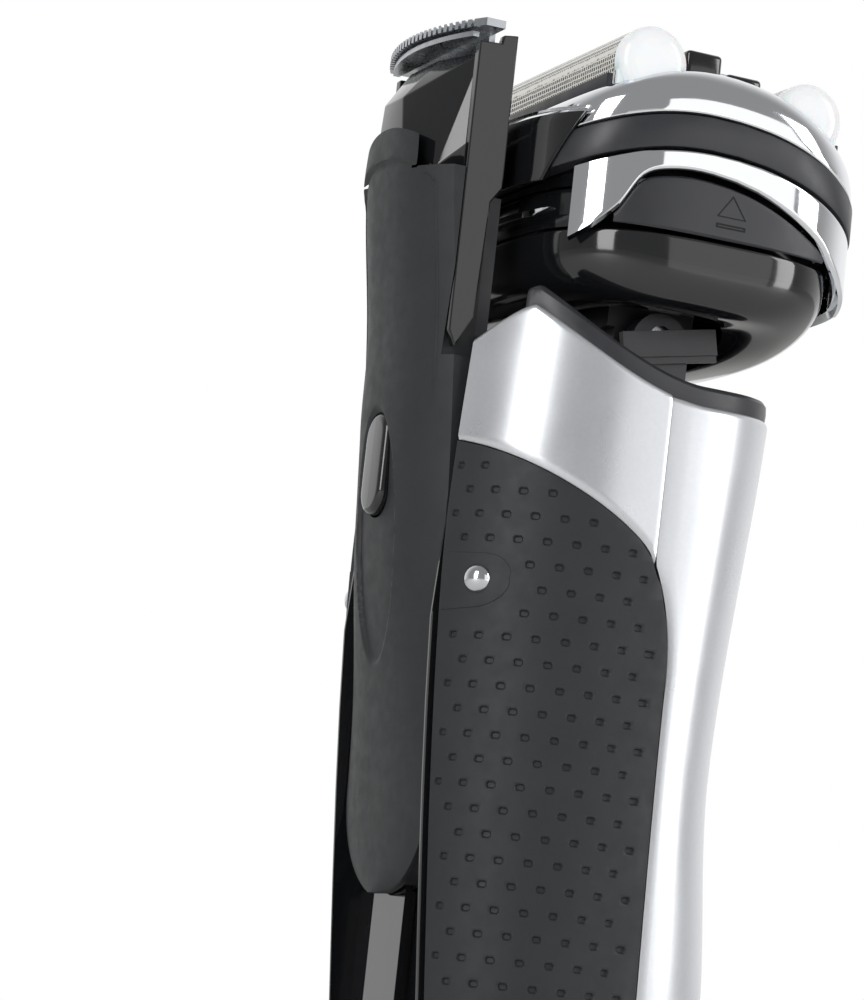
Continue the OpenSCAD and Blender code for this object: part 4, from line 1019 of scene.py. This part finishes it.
piece("centre_comb_teeth", centre_comb(), "guard", "steel", None, ["centre_guard"])
piece("centre_comb_blocks", joined(guard_blocks(), mirrored(guard_blocks())), "guard", "gloss_black")
# %% [markdown]
# ## Trimmer
# The slide-out trimmer runs up the back. Its elastomer pad has a scoop near the top, bounded by a curved
# crease, and an oval recess round the button. The head above it is facetted, like a cut stone.

# %% Trimmer pad
TRIM_W, PAD_LOW, PAD_TOP, PAD_SEAT, TRIM_TOP, PLATE_Y = 27.2, 56.0, 152.9, 17.6, 164.9, 17.4
PAD_LINE = [(56.0, 19.3), (80, 21.6), (100, 24.4), (116, 25.6), (130, 26.8), (146, 28.8), (153.9, 28.6)]
TRIM_BUTTON_Z, TRIM_BUTTON_R = 110.0, 3.2
SCOOP_DEPTH, RECESS_DEPTH = 0.6, 0.6


def eased(value, low, high):
    """A smooth step from 0 at low to 1 at high."""
    s = max(0.0, min(1.0, (value - low) / (high - low)))
    return s * s * (3 - 2 * s)


def pad_cut(u, z):
    """How deep the scoop and the recess lie under the crowned pad."""
    brow = 148.8 - 4.1 * (abs(u) / 0.86) ** 3
    scoop = eased(z, 115, 128) * (1 - eased(z, brow - 0.7, brow)) * (1 - eased(abs(u), 0.8, 0.86))
    round_recess = ((u * TRIM_W / 2) / 6.1) ** 2 + ((z - 101) / 16.5) ** 2
    return SCOOP_DEPTH * scoop + RECESS_DEPTH * (1 - eased(round_recess, 0.86, 1.0))


def pad_rise(z):
    half = TRIM_W / 2
    return math.sqrt(max(0.02, 1 - ((PAD_LOW + half - z) / half) ** 2)) if z < PAD_LOW + half else 1.0


def trimmer_pad():
    def place(u, v):
        u = 1 - 2 * u
        z = mix(PAD_LOW + 0.2, PAD_TOP - 4.6 * u * u, v)
        edge = mix(1.2, 4.6, min(1, (z - PAD_LOW) / 50))
        y = smooth(z, PAD_LINE) - edge * abs(u) ** 2.6 - pad_cut(u, z)
        return u * pad_rise(z) * TRIM_W / 2, y, z
    return sheet(110, 280, place)


def pad_with_back():
    bm = trimmer_pad()
    front = bm.faces[:]
    made = bmesh.ops.extrude_face_region(bm, geom=front, use_keep_orig=True)["geom"]
    for v in (g for g in made if isinstance(g, bmesh.types.BMVert)):
        v.co.y = (PAD_SEAT + 0.05) * MM
    bmesh.ops.recalc_face_normals(bm, faces=bm.faces)
    right = block((TRIM_W / 2 - 1.5, 15, 123), (TRIM_W / 2 + 1, 22.7, 170))
    left = block((-TRIM_W / 2 - 1, 15, 123), (1.5 - TRIM_W / 2, 22.7, 170))
    plate = block((-TRIM_W / 2 + 1.3, 15, 125.9), (TRIM_W / 2 - 1.3, PLATE_Y + 1.01, 170))
    top = block((-20, 15, PAD_TOP - 6.01), (20, 27.4, 170))
    slot = rounded(block((-TRIM_BUTTON_R - 0.3, 17, TRIM_BUTTON_Z - 6.9), (TRIM_BUTTON_R + 0.3, 27, TRIM_BUTTON_Z + 6.9)), 3.3, 8)
    for cutter in (right, left, plate, top, slot):
        bm = carved(bm, cutter)
    return bm


def button():
    """A narrow crowned bar with round ends."""
    at_back = smooth(TRIM_BUTTON_Z, PAD_LINE) + 0.3
    bm = block((-TRIM_BUTTON_R, at_back - 4.2, TRIM_BUTTON_Z - 6.6), (TRIM_BUTTON_R, at_back, TRIM_BUTTON_Z + 6.6))
    along = [e for e in bm.edges if abs((e.verts[0].co - e.verts[1].co).y) > 3 * MM]
    bmesh.ops.bevel(bm, geom=along, offset=3.18 * MM, offset_type="OFFSET", segments=10, profile=0.5, affect="EDGES",
                    material=-1)
    rim = [e for e in bm.edges if all(v.co.y > (at_back - 0.1) * MM for v in e.verts)]
    bmesh.ops.bevel(bm, geom=rim, offset=0.9 * MM, offset_type="OFFSET", segments=5, profile=0.5, affect="EDGES",
                    material=-1)
    return bm


piece("trimmer_pad_skin", pad_with_back(), "trimmer", "pad_rubber", None, ["trimmer_pad"], 40)
piece("trimmer_button_key", button(), "trimmer_key", "gloss_black", None, ["trimmer_button"])


# %% [markdown]
# The head is the hull of a few corner points, so its facets stay flat. A thin plate stands on each side.

# %% Trimmer head and side plates
def trimmer_head():
    corners = [(3.0, 28.0, 156.8), (4.0, 27.9, 151.6), (12.2, 21.8, 150.8), (12.2, 21.6, 162.2), (4.5, 24.2, 162.2),
               (12.2, 18.4, 162.2), (12.2, 18.4, 147.0), (9.0, 25.0, 147.2), (2.0, 27.2, 147.2)]
    bm = bmesh.new()
    for x, y, z in corners:
        for side in (-1, 1):
            bmesh.ops.create_vert(bm, co=Vector((side * x, y, z)) * MM)
    made = bmesh.ops.convex_hull(bm, input=bm.verts[:])
    loose = [g for g in made["geom_interior"] if isinstance(g, bmesh.types.BMVert)]
    bmesh.ops.delete(bm, geom=loose, context="VERTS")
    bmesh.ops.dissolve_limit(bm, angle_limit=math.radians(2), verts=bm.verts, edges=bm.edges)
    return rounded(bm, 0.22, 2, 8)


def side_plate():
    outline = [(22.6, 126), (22.6, 163.3), (19.6, 163.5), (19.4, 164.6), (PLATE_Y, TRIM_TOP), (PLATE_Y, 145),
               (18.8, 143), (19.4, 128), (21.6, 124)]
    bm = bmesh.new()
    corners = [bmesh.ops.create_vert(bm, co=Vector((TRIM_W / 2 - 1.4, y, z)) * MM)["vert"][0] for y, z in outline]
    face = bmesh.ops.contextual_create(bm, geom=corners)["faces"]
    made = bmesh.ops.extrude_face_region(bm, geom=face, use_keep_orig=True)["geom"]
    moved = [g for g in made if isinstance(g, bmesh.types.BMVert)]
    bmesh.ops.translate(bm, verts=moved, vec=(1.4 * MM, 0, 0))
    return rounded(bm, 0.2, 2, 20)


head_parts = joined(trimmer_head(), side_plate(), mirrored(side_plate()))
piece("trimmer_head_facets", head_parts, "trimmer", "gloss_black", None, ["trimmer_frame"], 20)



# %% [markdown]
# ## Floor and light
# A pale floor and an even white surround light the shaver as a product is lit on a white sweep. Two large soft
# boxes give the long highlights, and a side card whitens the chrome.

# %% Studio
floor = bpy.data.objects.new("floor", bpy.data.meshes.new("floor"))
bm = bmesh.new()
bmesh.ops.create_grid(bm, x_segments=1, y_segments=1, size=3, matrix=Matrix.Translation((0, 0, -0.00005)))
bm.to_mesh(floor.data)
bm.free()
bpy.context.scene.collection.objects.link(floor)
tree, shader, place = finish("pale_sweep", "#e9e9e7", 0.7)
vary(tree, shader, place, "Roughness", 0.65, 0.75, 30)
floor.data.materials.append(FINISHES["pale_sweep"])

world = bpy.data.worlds.new("studio")
world.use_nodes = True
sky = world.node_tree
ray = add(sky, "ShaderNodeTexCoord").outputs["Generated"]
behind = add(sky, "ShaderNodeVectorMath", {0: ray, 1: (0.92, -0.39, 0.0)}, operation="DOT_PRODUCT")
white = add(sky, "ShaderNodeMapRange", {"Value": behind.outputs["Value"], 1: -0.2, 2: 0.75, 3: 0.32, 4: 1.0},
            interpolation_type="SMOOTHSTEP")
sky.links.new(white.outputs[0], sky.nodes["Background"].inputs["Strength"])
sky.nodes["Background"].inputs["Color"].default_value = (1, 1, 1, 1)
bpy.context.scene.world = world


def soft_box(name, at, aim, size, watts):
    """A square studio light that faces a point."""
    light = bpy.data.lights.new(name, "AREA")
    light.shape = "RECTANGLE"
    light.size, light.size_y = size
    light.energy = watts
    box = bpy.data.objects.new(name, light)
    bpy.context.scene.collection.objects.link(box)
    turn = (Vector(aim) - Vector(at)).to_track_quat("-Z", "Y").to_matrix().to_4x4()
    box.matrix_world = Matrix.Translation(Vector(at)) @ turn
    return box


soft_box("key_box", (-0.5, 0.75, 0.45), (0, 0, 0.1), (0.35, 0.8), 5)
soft_box("rim_box", (-0.6, -0.7, 0.35), (0, 0, 0.1), (0.25, 0.7), 3)
soft_box("side_card", (-0.74, -0.31, 0.2), (0, 0, 0.12), (0.45, 0.6), 0.8)
